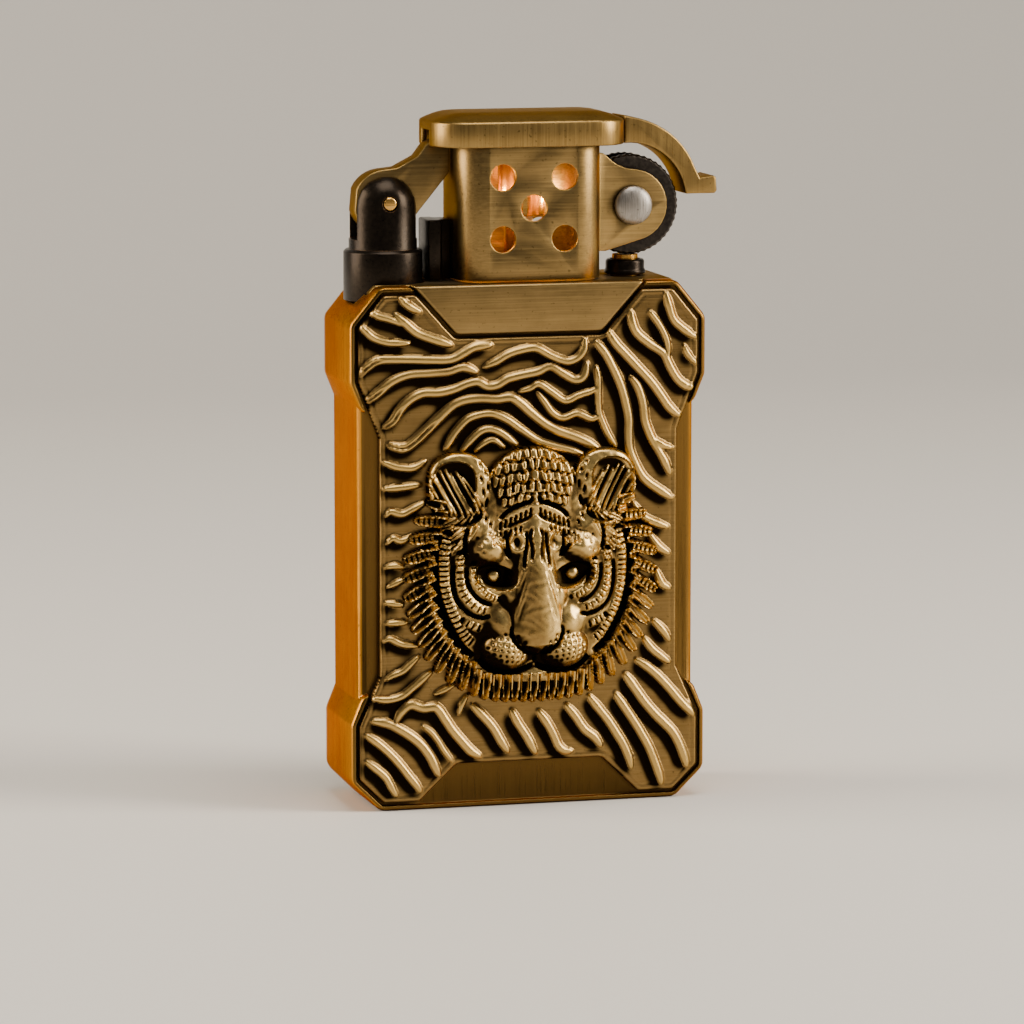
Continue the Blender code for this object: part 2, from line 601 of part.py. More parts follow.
def make_chimney():
    """Wind guard with five holes front and back; its two ears are folded out to carry the wheel."""
    section = rounded(rectangle(CHIMNEY_X0, CHIMNEY_X1, -CHIMNEY_D, CHIMNEY_D), CHIMNEY_RADIUS, 6)
    low = DECK + SEAT
    guard = loft("chimney", section, [(low, 0.0), (CHIMNEY_TOP, 0.0), (CHIMNEY_TOP, CHIMNEY_WALL),
                                      (low, CHIMNEY_WALL)], "antique_brass", ring=True)
    ear_top = WHEEL_Z + WHEEL_RADIUS + 0.2 * MM
    ear_low = WHEEL_Z - WHEEL_RADIUS + 0.5 * MM
    root = CHIMNEY_X1 - CHIMNEY_WALL * 0.6
    hub = (WHEEL_X, WHEEL_Z)
    ear = [(root, ear_low), (CHIMNEY_X1 + 0.6 * MM, ear_low)]
    ear += arc(hub, EAR_RADIUS, -68, 82, 12)
    sweep = arc((WHEEL_X + 0.4 * MM, WHEEL_Z + EAR_RADIUS + 4.2 * MM), 4.2 * MM, 262, 216, 5)
    ear += [p for p in sweep if p[0] > CHIMNEY_X1 + 0.3 * MM and p[1] < ear_top]
    ear += [(CHIMNEY_X1 + 0.3 * MM, ear_top), (root, ear_top)]
    inner = WHEEL_WIDTH / 2 + EAR_GAP
    for name, side in (("front_ear", -1), ("rear_ear", 1)):
        plate = loft(name, ear, [(side * inner, 0.0), (side * (inner + EAR_THICKNESS), 0.0)], axis="Y")
        boolean(guard, plate, "UNION")
    slot = rectangle(CHIMNEY_X1 - 1.2 * MM, CHIMNEY_X1 + MM, ear_low + 0.3 * MM, ear_top - 0.3 * MM)
    slot_half = inner - 0.05 * MM
    boolean(guard, loft("wheel_slot", slot, [(-slot_half, 0.0), (slot_half, 0.0)], axis="Y"))
    step_x = (CHIMNEY_X1 - CHIMNEY_X0) * 0.213
    step_z = (CHIMNEY_TOP - DECK) * 0.2
    middle = DECK + 7.45 * MM
    spots = [(CHIMNEY_X, middle)]
    spots += [(CHIMNEY_X + i * step_x, middle + j * step_z) for i in (-1, 1) for j in (-1, 1)]
    cut_bores(guard, spots, CHIMNEY_HOLE_RADIUS, -HALF_D, HALF_D)
    bore = AXLE_RADIUS + RUN
    boolean(guard, turned("ear_bore", [(0, -HALF_D), (bore, -HALF_D), (bore, HALF_D), (0, HALF_D)],
                          hub, axis="Y", segments=24))


def make_wick():
    top = DECK + WICK_HEIGHT
    turned("wick", [(0, DECK - COTTON_TOP + SEAT), (WICK_RADIUS, DECK - COTTON_TOP + SEAT),
                    (WICK_RADIUS, top - 0.3 * MM), (WICK_RADIUS * 0.7, top), (0, top)],
           (CHIMNEY_X, 0.0), "wick_cord", segments=20)
    bore = WICK_RADIUS + SEAT
    low = DECK + SEAT
    turned("wick_sleeve", [(bore, low), (SLEEVE_RADIUS + 0.7 * MM, low),
                           (SLEEVE_RADIUS + 0.7 * MM, low + 0.5 * MM), (SLEEVE_RADIUS, low + 0.5 * MM),
                           (SLEEVE_RADIUS, low + SLEEVE_HEIGHT), (bore, low + SLEEVE_HEIGHT)],
           (CHIMNEY_X, 0.0), "bright_brass", segments=28, bored=True)


def make_post():
    """Bullet-shaped post with a slot for the arm and a bore for the detent."""
    step = DECK + POST_COLLAR_HEIGHT
    dome = DECK + PIVOT_HEIGHT - 0.4 * MM
    profile = [(0, POST_FOOT), (POST_COLLAR_RADIUS, POST_FOOT), (POST_COLLAR_RADIUS, step - 0.25 * MM),
               (POST_COLLAR_RADIUS - 0.25 * MM, step), (POST_RADIUS, step), (POST_RADIUS, dome)]
    for angle in (15, 30, 45, 60, 75):
        turn = math.radians(angle)
        profile.append((POST_RADIUS * math.cos(turn), dome + POST_RADIUS * math.sin(turn)))
    profile.append((0, dome + POST_RADIUS))
    post = turned("pivot_post", profile, (POST_X, 0.0), "gunmetal", segments=40)
    reach = POST_RADIUS + MM
    slot = rectangle(POST_X - reach, POST_X + reach, SLOT_FLOOR, dome + reach)
    boolean(post, loft("arm_slot", slot, [(-SLOT_HALF, 0.0), (SLOT_HALF, 0.0)], axis="Y"))
    well = DECK - 0.6 * MM
    room = DETENT_RADIUS + RUN
    boolean(post, turned("detent_well", [(0, well), (room, well), (room, PIVOT_Z), (0, PIVOT_Z)],
                         (POST_X, 0.0), segments=24))
    cut_bores(post, [(POST_X, PIVOT_Z)], PIN_RADIUS + RUN, -HALF_D, HALF_D)
    tip = math.sqrt(POST_RADIUS ** 2 - (PIVOT_Z - dome) ** 2) - 0.1 * MM
    turned("arm_pivot_pin", [(0, -tip), (PIN_RADIUS * 0.8, -tip), (PIN_RADIUS, -tip + 0.15 * MM),
                             (PIN_RADIUS, tip - 0.15 * MM), (PIN_RADIUS * 0.8, tip), (0, tip)],
           (POST_X, PIVOT_Z), "bright_brass", axis="Y", segments=20)
    low = DETENT_TOP - DETENT_LENGTH
    turned("detent_plunger", [(0, low), (DETENT_RADIUS, low), (DETENT_RADIUS, DETENT_TOP - 0.3 * MM),
                              (DETENT_RADIUS * 0.7, DETENT_TOP), (0, DETENT_TOP)],
           (POST_X, 0.0), "spring_steel", segments=20)
    coil("detent_spring", (POST_X, 0.0), well + STACK, low - STACK, DETENT_RADIUS * 0.75,
         0.12 * MM, 4, "spring_steel")

    block_x1 = CHIMNEY_X0 - SEAT
    waist = BLOCK_X0 + (block_x1 - BLOCK_X0) * 0.55
    plan = [(BLOCK_X0, -2.2 * MM), (waist, -2.2 * MM), (waist, -1.5 * MM), (block_x1, -1.5 * MM),
            (block_x1, 1.5 * MM), (waist, 1.5 * MM), (waist, 2.2 * MM), (BLOCK_X0, 2.2 * MM)]
    loft("stop_block", rounded(plan, 0.2 * MM, 2), [(DECK + SEAT, 0.0), (DECK + BLOCK_HEIGHT, 0.0),
                                                    (DECK + BLOCK_HEIGHT + 0.12 * MM, 0.12 * MM)],
         "gunmetal")


def make_flint_column():
    bore = FLINT_RADIUS + RUN
    tube = FLINT_TUBE_RADIUS
    centre = (WHEEL_X, 0.0)
    tube_top = WHEEL_Z - math.sqrt(WHEEL_RADIUS ** 2 - tube ** 2) - 0.25 * MM
    turned("flint_tube", [(bore, TANK_FLOOR), (tube, TANK_FLOOR), (tube, tube_top), (bore, tube_top)],
           centre, "bright_brass", segments=24, bored=True)
    low = DECK + SEAT
    turned("flint_collar", [(tube + SEAT, low), (COLLAR_RADIUS, low), (COLLAR_RADIUS, low + 0.35 * MM),
                            (COLLAR_RADIUS - 0.12 * MM, low + 0.5 * MM),
                            (COLLAR_RADIUS - 0.12 * MM, low + COLLAR_HEIGHT - 0.2 * MM),
                            (COLLAR_RADIUS - 0.3 * MM, low + COLLAR_HEIGHT),
                            (tube + SEAT, low + COLLAR_HEIGHT)],
           centre, "gunmetal", segments=28, bored=True)
    flint_low = FLINT_TOP - FLINT_LENGTH
    turned("flint", [(0, flint_low), (FLINT_RADIUS, flint_low), (FLINT_RADIUS, FLINT_TOP), (0, FLINT_TOP)],
           centre, "flint_alloy", segments=16)
    low = PLUNGER_TOP - PLUNGER_LENGTH
    turned("flint_plunger", [(0, low), (FLINT_RADIUS, low), (FLINT_RADIUS, PLUNGER_TOP), (0, PLUNGER_TOP)],
           centre, "bright_brass", segments=16)
    coil("flint_spring", centre, SCREW_TOP + STACK, SPRING_TOP, FLINT_RADIUS * 0.75, 0.14 * MM,
         14, "spring_steel")
    head_low = TANK_FLOOR - SEAT - SCREW_HEAD_HEIGHT
    shank = FLINT_RADIUS
    screw = turned("flint_screw", [(0, head_low), (SCREW_HEAD_RADIUS, head_low),
                                   (SCREW_HEAD_RADIUS, TANK_FLOOR - SEAT), (shank, TANK_FLOOR - SEAT),
                                   (shank, SCREW_TOP), (0, SCREW_TOP)],
                   centre, "bright_brass", segments=28)
    slot = rectangle(WHEEL_X - 3 * MM, WHEEL_X + 3 * MM, head_low - MM, head_low + 0.45 * MM)
    boolean(screw, loft("driver_slot", slot, [(-0.3 * MM, 0.0), (0.3 * MM, 0.0)], axis="Y"))


# ---- flint wheel --------------------------------------------------------------------------------
def toothed(radius, depth, teeth):
    """A ring of teeth as an outline round the wheel's axle, anticlockwise seen from -Y."""
    points = []
    for tooth in range(teeth):
        for share, r in ((0.0, radius - depth), (0.5, radius)):
            angle = 2 * math.pi * (tooth + share) / teeth
            points.append((WHEEL_X + r * math.cos(angle), WHEEL_Z + r * math.sin(angle)))
    return points


def make_wheel():
    flange = WHEEL_WIDTH / 2 - FLANGE_WIDTH
    core_half = flange - 0.1 * MM
    core = loft("striker_wheel", toothed(WHEEL_RADIUS - 0.3 * MM, 0.25 * MM, 32),
                [(-core_half, 0.0), (core_half, 0.0)], "dark_steel", axis="Y")
    sides = []
    for name, side in (("wheel_flange_front", -1), ("wheel_flange_rear", 1)):
        outer = side * WHEEL_WIDTH / 2
        run = [(side * flange, 0.0), (outer - side * 0.2 * MM, 0.0), (outer, 0.2 * MM)]
        sides.append(loft(name, toothed(WHEEL_RADIUS, 0.1 * MM, 48), run, "dark_steel", axis="Y"))
    for disc in [core] + sides:
        cut_bores(disc, [(WHEEL_X, WHEEL_Z)], AXLE_RADIUS + RUN, -HALF_D, HALF_D, 24)
    seat = WHEEL_WIDTH / 2 + EAR_GAP + EAR_THICKNESS + SEAM
    half = [(AXLE_RADIUS, seat), (AXLE_HEAD_RADIUS - 0.05 * MM, seat), (AXLE_HEAD_RADIUS, seat + 0.2 * MM)]
    for angle in (22, 45, 68):
        turn = math.radians(angle)
        half.append((AXLE_HEAD_RADIUS * math.cos(turn),
                     seat + 0.2 * MM + (AXLE_HEAD_HEIGHT - 0.2 * MM) * math.sin(turn)))
    half.append((0, seat + AXLE_HEAD_HEIGHT))
    profile = [(r, -y) for r, y in reversed(half)] + half
    turned("wheel_axle", profile, (WHEEL_X, WHEEL_Z), "rivet_steel", axis="Y", segments=24)


# ---- lift arm -----------------------------------------------------------------------------------
def lobe_outline():
    """Round lobe about the pivot, with a flat below for shut and one at the left for open."""
    points = []
    half = math.degrees(math.acos(ARM_FLAT / ARM_LOBE))
    for start, end in ((96, 175 - half), (175 + half, 270 - half), (270 + half, 334)):
        points += arc((POST_X, PIVOT_Z), ARM_LOBE, start, end, 6)
    return points


def make_arm():
    right = CHIMNEY_X0 - 0.35 * MM
    web_high = CAP_Z0 + 1.0 * MM
    outline = lobe_outline()
    outline += [(right, PIVOT_Z + 2.9 * MM), (right, web_high),
                (CAP_X0 + CAP_WALL, web_high - 0.45 * MM), (CAP_X0 - 0.2 * MM, CAP_Z0 + 0.15 * MM),
                (POST_X + 3.3 * MM, (CAP_Z0 + PIVOT_Z + ARM_LOBE) / 2 + 0.1 * MM),
                (POST_X + 1.2 * MM, PIVOT_Z + ARM_LOBE + 0.15 * MM)]
    half = ARM_WIDTH / 2
    channel = loft("lift_arm", outline, [(-half, 0.0), (half, 0.0)], "antique_brass", axis="Y")
    hollow = inset(outline, ARM_SHEET)
    low = [(x, z) for x, z in hollow if z < PIVOT_Z + 0.5 * MM or x < POST_X]
    rest = [p for p in hollow if p not in low]
    open_side = [(POST_X + ARM_LOBE + 3 * MM, PIVOT_Z - 3 * MM), (right + 3 * MM, PIVOT_Z)]
    room = low + open_side + [(right + 3 * MM, rest[1][1])] + rest[2:]
    inner = half - ARM_SHEET
    boolean(channel, loft("arm_hollow", room, [(-inner, 0.0), (inner, 0.0)], axis="Y"))
    cut_bores(channel, [(POST_X, PIVOT_Z)], PIN_RADIUS + RUN, -HALF_D, HALF_D)


def make_cap():
    plan = rounded(rectangle(CAP_X0, CAP_X1, -CAP_D, CAP_D), CHIMNEY_RADIUS + CAP_OVERHANG, 6)
    rim = [(CAP_CEILING, CAP_WALL), (CAP_Z0, CAP_WALL), (CAP_Z0, 0.0), (CAP_RIM - 0.25 * MM, 0.0),
           (CAP_RIM - 0.06 * MM, 0.08 * MM), (CAP_RIM, 0.25 * MM), (CAP_RIM + 0.1 * MM, 0.45 * MM),
           (CAP_RIM + 0.45 * MM, 1.3 * MM), (CAP_RIM + 0.7 * MM, 2.2 * MM), (CAP_TOP, 3.1 * MM)]
    cap = loft("snuffer_cap", plan, rim, "antique_brass")
    notch = rectangle(CAP_X0 - MM, CAP_X0 + CAP_WALL + 0.2 * MM, CAP_Z0 - MM, CAP_Z0 + 1.6 * MM)
    half = ARM_WIDTH / 2 + SEAT
    boolean(cap, loft("arm_notch", notch, [(-half, 0.0), (half, 0.0)], axis="Y"))
    cup_low = DECK + SEAT + SLEEVE_HEIGHT + CUP_OVER_SLEEVE
    high = CAP_CEILING - 0.15 * MM
    wall = CUP_RADIUS - CUP_WALL
    turned("snuffer_cup", [(0, high), (CUP_RADIUS, high), (CUP_RADIUS, cup_low), (wall, cup_low),
                           (wall, high - 0.4 * MM), (0, high - 0.4 * MM)],
           (CHIMNEY_X, 0.0), "bright_brass", segments=32)


def make_tail():
    """Curved guard over the wheel with a thumb tab at its tip."""
    hub = (WHEEL_X - 0.2 * MM, WHEEL_Z + 0.25 * MM)
    inner_r = WHEEL_RADIUS + TAIL_CLEAR
    root = CAP_X1 + 0.15 * MM
    tip = 7.0
    outer = []
    inner = []
    start = math.degrees(math.acos((root - hub[0]) / inner_r))
    steps = 14
    for step in range(steps + 1):
        share = step / steps
        angle = math.radians(start + (tip - start) * share)
        thick = TAIL_ROOT + (TAIL_TIP - TAIL_ROOT) * share ** 0.8
        inner.append((hub[0] + inner_r * math.cos(angle), hub[1] + inner_r * math.sin(angle)))
        reach = inner_r + thick
        x = max(hub[0] + reach * math.cos(angle), root)
        outer.append((x, hub[1] + reach * math.sin(angle)))
    low = inner[-1]
    tab_end = low[0] + TAB_LENGTH
    tab = [(low[0], low[1]), (tab_end - 0.2 * MM, low[1]), (tab_end, low[1] + 0.3 * MM),
           (tab_end - 0.1 * MM, low[1] + TAB_HEIGHT - 0.15 * MM),
           (tab_end - 0.4 * MM, low[1] + TAB_HEIGHT), (low[0] + TAIL_TIP, low[1] + TAB_HEIGHT - 0.2 * MM)]
    above = [p for p in outer if p[1] > tab[-1][1] + 0.3 * MM]
    outline = inner[:-1] + tab + list(reversed(above))
    half = TAIL_WIDTH / 2
    run = [(-half, 0.12 * MM), (-half + 0.12 * MM, 0.0), (half - 0.12 * MM, 0.0), (half, 0.12 * MM)]
    loft("thumb_tail", outline[::-1] if area(outline) < 0 else outline, run, "antique_brass", axis="Y")


def area(outline):
    total = 0.0
    for i, (x, y) in enumerate(outline):
        nx, ny = outline[(i + 1) % len(outline)]
        total += x * ny - nx * y
    return total / 2


clear_scene()
make_case()
make_emblem()
make_tank()
make_deck()
make_chimney()
make_wick()
make_post()
make_flint_column()
make_wheel()
make_arm()
make_cap()
make_tail()
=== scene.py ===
import json
import math

import bpy
import numpy as np
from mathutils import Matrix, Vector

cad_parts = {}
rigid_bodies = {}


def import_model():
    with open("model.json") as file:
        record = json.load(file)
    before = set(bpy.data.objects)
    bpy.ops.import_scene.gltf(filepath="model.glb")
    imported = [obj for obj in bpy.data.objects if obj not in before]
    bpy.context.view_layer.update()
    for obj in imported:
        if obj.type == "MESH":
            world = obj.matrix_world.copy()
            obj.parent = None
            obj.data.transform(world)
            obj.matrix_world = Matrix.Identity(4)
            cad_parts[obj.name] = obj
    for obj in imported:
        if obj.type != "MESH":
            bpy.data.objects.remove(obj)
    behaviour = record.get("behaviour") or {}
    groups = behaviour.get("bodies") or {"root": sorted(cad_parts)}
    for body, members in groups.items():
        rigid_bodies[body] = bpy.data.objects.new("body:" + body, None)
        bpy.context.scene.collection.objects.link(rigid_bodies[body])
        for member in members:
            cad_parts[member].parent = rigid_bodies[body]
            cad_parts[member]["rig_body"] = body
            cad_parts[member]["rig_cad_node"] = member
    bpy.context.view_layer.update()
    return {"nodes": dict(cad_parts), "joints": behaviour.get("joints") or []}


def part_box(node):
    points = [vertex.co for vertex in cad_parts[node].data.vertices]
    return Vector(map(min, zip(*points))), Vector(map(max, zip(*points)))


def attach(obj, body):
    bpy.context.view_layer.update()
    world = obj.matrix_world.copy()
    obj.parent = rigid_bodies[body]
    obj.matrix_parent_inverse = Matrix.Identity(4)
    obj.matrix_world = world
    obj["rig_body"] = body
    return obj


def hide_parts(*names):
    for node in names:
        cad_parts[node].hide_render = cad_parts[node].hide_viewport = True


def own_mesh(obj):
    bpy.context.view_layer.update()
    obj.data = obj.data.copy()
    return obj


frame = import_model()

nodes = frame["nodes"]
mm = 0.001
rng = np.random.default_rng(7)


def objectMode():
    bpy.ops.object.mode_set(mode="OBJECT")


def deselectAll():
    if bpy.context.object and bpy.context.object.mode != "OBJECT":
        objectMode()
    bpy.ops.object.select_all(action="DESELECT")


def linear(hexColour):
    channels = [int(hexColour[i:i + 2], 16) / 255 for i in (1, 3, 5)]
    return tuple(c / 12.92 if c <= 0.04045 else ((c + 0.055) / 1.055) ** 2.4 for c in channels) + (1.0,)


def addNode(tree, kind, values=None, links=None, **settings):
    node = tree.nodes.new(kind)
    for name, value in settings.items():
        setattr(node, name, value)
    for socket, value in (values or {}).items():
        node.inputs[socket].default_value = value
    for socket, source in (links or {}).items():
        tree.links.new(source, node.inputs[socket])
    return node


def selectParts(obj, kind, chosen):
    # kind is "VERT", "EDGE" or "FACE"; chosen is one true or false for each
    deselectAll()
    bpy.context.view_layer.objects.active = obj
    obj.select_set(True)
    bpy.ops.object.mode_set(mode="EDIT")
    bpy.ops.mesh.select_mode(type=kind)
    bpy.ops.mesh.select_all(action="DESELECT")
    objectMode()
    parts = {"VERT": obj.data.vertices, "EDGE": obj.data.edges, "FACE": obj.data.polygons}[kind]
    parts.foreach_set("select", np.asarray(chosen, bool))
    bpy.ops.object.mode_set(mode="EDIT")


def places(obj):
    co = np.empty(len(obj.data.vertices) * 3)
    obj.data.vertices.foreach_get("co", co)
    return co.reshape(-1, 3)


def place(obj, co):
    obj.data.vertices.foreach_set("co", np.ascontiguousarray(co).ravel())
    obj.data.update()


print("scene: camera")
view = {"azimuth": -15, "elevation": 8, "lens": 193.36, "sensor": 36, "clip": 0.01,
        "distance": 0.560, "target": (-0.00015, -0.00025, 0.02908)}
around, above = math.radians(view["azimuth"]), math.radians(view["elevation"])
back = (math.sin(around) * math.cos(above), -math.cos(around) * math.cos(above), math.sin(above))
deselectAll()
bpy.ops.object.camera_add(
    location=[t + b * view["distance"] for t, b in zip(view["target"], back)],
    rotation=(math.pi / 2 - above, 0, around))
camera = bpy.context.object
camera.data.lens = view["lens"]
camera.data.sensor_width = view["sensor"]
camera.data.clip_start = view["clip"]
bpy.context.scene.camera = camera

print("scene: stage")
# a paper sweep: floor from front to behind, a curve, then a wall
stage = {"width": 9.0, "front": -4.0, "behind": 0.75, "height": 1.6, "curve": 0.4, "curveSteps": 16,
         "drop": 0.00005, "colour": "#DAD7D1", "roughness": 0.6}
deselectAll()
bpy.ops.mesh.primitive_plane_add(size=1)
backdrop = bpy.context.object
backdrop.name = "backdrop"
co = places(backdrop)
depth = stage["behind"] - stage["front"]
place(backdrop, np.column_stack([co[:, 0] * stage["width"], stage["front"] + (co[:, 1] + 0.5) * depth,
                                 np.full(len(co), -stage["drop"])]))


def backEdges(lowest):
    # the sweep's edges along its far side, only those on the floor if lowest
    ends = [[backdrop.data.vertices[v].co for v in edge.vertices] for edge in backdrop.data.edges]
    return [all(p.y > 0 and (p.z < mm or not lowest) for p in pair) for pair in ends]


selectParts(backdrop, "EDGE", backEdges(False))
bpy.ops.mesh.extrude_region_move(TRANSFORM_OT_translate={"value": (0, 0, stage["height"])})
objectMode()
selectParts(backdrop, "EDGE", backEdges(True))
bpy.ops.mesh.bevel(offset=stage["curve"], segments=stage["curveSteps"])
objectMode()
bpy.ops.object.shade_smooth()
paper = bpy.data.materials.new("backdrop_paper")
paper.use_nodes = True
paperShader = paper.node_tree.nodes["Principled BSDF"]
paperShader.inputs["Base Color"].default_value = linear(stage["colour"])
paperShader.inputs["Roughness"].default_value = stage["roughness"]
backdrop.data.materials.append(paper)

print("scene: light")
# direction is from the lighter towards the lamp: X, Y, Z
lamps = {
    "key_left_behind": {"direction": (-0.92, 0.16, 0.34), "distance": 0.55, "size": (0.30, 0.45),
                        "power": 4.2, "colour": "#FFF0DC"},
    "soft_right_front": {"direction": (0.86, -0.42, 0.42), "distance": 0.60, "size": (0.22, 0.40),
                         "power": 5.2, "colour": "#FFF5E6"},
    "top_soft": {"direction": (0.05, -0.25, 1.0), "distance": 0.60, "size": (0.40, 0.30),
                 "power": 2.6, "colour": "#FFF7EE"},
}
lampAim = 0.03   # the lamps look at this height
for name, lamp in lamps.items():
    length = math.hypot(*lamp["direction"])
    spot = [d / length * lamp["distance"] for d in lamp["direction"]]
    bpy.ops.object.light_add(type="AREA", location=(spot[0], spot[1], spot[2] + lampAim))
    light = bpy.context.object
    light.name = name
    light.data.shape = "RECTANGLE"
    light.data.size, light.data.size_y = lamp["size"]
    light.data.energy = lamp["power"]
    light.data.color = linear(lamp["colour"])[:3]
    flat = math.hypot(spot[0], spot[1])
    light.rotation_euler = (math.atan2(flat, spot[2]), 0, math.atan2(spot[0], -spot[1]))

# two small warm lamps stand inside the chimney, so that its holes show lit brass
glow = {"places": ((-4.6, 0, 61.0), (6.4, 0, 61.0)), "radius": 0.6, "power": 0.007, "colour": "#FFC875"}
for number, spot in enumerate(glow["places"]):
    bpy.ops.object.light_add(type="POINT", location=[v * mm for v in spot])
    light = bpy.context.object
    light.name = f"chimney_glow_{number}"
    light.data.shadow_soft_size = glow["radius"] * mm
    light.data.energy = glow["power"]
    light.data.color = linear(glow["colour"])[:3]

air = {"colour": "#CFCDC9", "strength": 0.26}
world = bpy.data.worlds.new("studio_air")
world.use_nodes = True
bpy.context.scene.world = world
world.node_tree.nodes["Background"].inputs["Color"].default_value = linear(air["colour"])
world.node_tree.nodes["Background"].inputs["Strength"].default_value = air["strength"]

print("scene: materials")


def ranged(tree, source, span, to=(0.0, 1.0), **settings):
    # turns the source's span, low to high, into the span "to"
    values = {"From Min": span[0], "From Max": span[1], "To Min": to[0], "To Max": to[1]}
    return addNode(tree, "ShaderNodeMapRange", values, {"Value": source}, **settings).outputs["Result"]


def layColour(tree, under, over, share):
    # under is a hex colour or a node's output; a colour mix takes its colours at inputs 6 and 7
    node = addNode(tree, "ShaderNodeMix", {7: linear(over)}, {0: share}, data_type="RGBA")
    if isinstance(under, str):
        node.inputs[6].default_value = linear(under)
    else:
        tree.links.new(under, node.inputs[6])
    return node.outputs[2]


def noise(tree, where, scale, detail, roughness):
    return addNode(tree, "ShaderNodeTexNoise", {"Scale": scale, "Detail": detail, "Roughness": roughness},
                   {"Vector": where}).outputs["Fac"]


def reliefWearAndShade(tree, look, under, cloud):
    # patina and painted shade in the recesses and bare metal on the crests, from the relief's own height
    crest = addNode(tree, "ShaderNodeAttribute", attribute_name="crest").outputs["Fac"]
    uneven = addNode(tree, "ShaderNodeMath", {1: look["crestNoise"]}, {0: cloud},
                     operation="MULTIPLY").outputs[0]
    height = addNode(tree, "ShaderNodeMath", None, {0: crest, 1: uneven}, operation="ADD").outputs[0]
    recess = ranged(tree, height, look["patinaAndShadeSpan"], (1.0, 0.0), interpolation_type="SMOOTHSTEP")
    high = ranged(tree, height, look["brightSpan"], (0.0, look["crestShow"]), interpolation_type="SMOOTHSTEP")
    result = layColour(tree, under, look["patinaAndShade"], recess)
    return layColour(tree, result, look["edge"], high), recess


def edgeWearAndShade(tree, look, under):
    # patina and painted shade in the corners, found by occlusion, and bare metal on the worn edges
    hollow = addNode(tree, "ShaderNodeAmbientOcclusion", {"Distance": look["recess"] * mm},
                     samples=4).outputs["AO"]
    recess = ranged(tree, hollow, look["recessSpan"], (look["recessShow"], 0.0))
    rounded = addNode(tree, "ShaderNodeBevel", {"Radius": look["edgeWidth"] * mm},
                      samples=4).outputs["Normal"]
    plain = addNode(tree, "ShaderNodeNewGeometry").outputs["True Normal"]
    turned = addNode(tree, "ShaderNodeVectorMath", None, {0: rounded, 1: plain},
                     operation="DOT_PRODUCT").outputs["Value"]
    worn = ranged(tree, turned, look["wornSpan"], (0.0, look["edgeShow"]))
    # painted shade: the dark colour goes into the corners that the occlusion finds hidden, along with patina
    result = layColour(tree, under, look["patinaAndShade"], recess)
    return layColour(tree, result, look["edge"], worn), recess, rounded


def makeMetal(name, look):
    material = bpy.data.materials.new(name)
    material.use_nodes = True
    tree = material.node_tree
    shader = tree.nodes["Principled BSDF"]
    shader.inputs["Metallic"].default_value = look["metallic"]
    # a coloured metal keeps its colour at a low angle too
    shader.inputs["Specular Tint"].default_value = linear(look["grazing"])
    coords = addNode(tree, "ShaderNodeTexCoord")
    here = coords.outputs["Object"]
    across, along = 1 / (look["linePitch"] * mm), 1 / (look["lineLength"] * mm)
    stretch = [along if axis == look["lines"] else across for axis in "XYZ"]
    lined = addNode(tree, "ShaderNodeMapping", {"Scale": stretch}, {"Vector": here}).outputs["Vector"]
    lines = noise(tree, lined, 1.0, 3.0, 0.6)
    cloud = noise(tree, here, 1 / (look["cloudSize"] * mm), 4.0, 0.65)
    speck = noise(tree, here, 1 / (look["speckSize"] * mm), 2.0, 0.5)
    result = layColour(tree, look["shade"], look["colour"], ranged(tree, cloud, look["cloudSpan"]))
    result = layColour(tree, result, look["bright"],
                       ranged(tree, lines, look["lineSpan"], (0.0, look["lineShow"])))
    result = layColour(tree, result, look["patinaAndShade"],
                       ranged(tree, speck, look["speckSpan"], (0.0, look["speckShow"])))
    lineLinks = {"Height": lines}
    if look.get("crest"):
        result, recess = reliefWearAndShade(tree, look, result, cloud)
    else:
        result, recess, lineLinks["Normal"] = edgeWearAndShade(tree, look, result)
    if look.get("front"):
        # faces towards the front and rear are painted darker than the sides, partly as the darker finish of
        # the plates and partly as painted shade
        facing = addNode(tree, "ShaderNodeSeparateXYZ", None, {0: coords.outputs["Normal"]}).outputs["Y"]
        flatness = addNode(tree, "ShaderNodeMath", None, {0: facing}, operation="ABSOLUTE").outputs[0]
        result = layColour(tree, result, look["front"],
                           ranged(tree, flatness, look["frontSpan"], (0.0, look["frontShow"])))
    tree.links.new(result, shader.inputs["Base Color"])
    rough = ranged(tree, lines, (0.0, 1.0),
                   (look["roughness"] - look["spread"], look["roughness"] + look["spread"]))
    rougher = addNode(tree, "ShaderNodeMath", {1: look["recessDull"]}, {0: recess, 2: rough},
                      operation="MULTIPLY_ADD").outputs[0]
    tree.links.new(rougher, shader.inputs["Roughness"])
    lineBump = addNode(tree, "ShaderNodeBump", {"Strength": 1.0, "Distance": look["lineDepth"] * mm},
                       lineLinks).outputs["Normal"]
    pitted = addNode(tree, "ShaderNodeBump", {"Strength": 1.0, "Distance": look["speckDepth"] * mm},
                     {"Height": speck, "Normal": lineBump}).outputs["Normal"]
    tree.links.new(pitted, shader.inputs["Normal"])
    return material


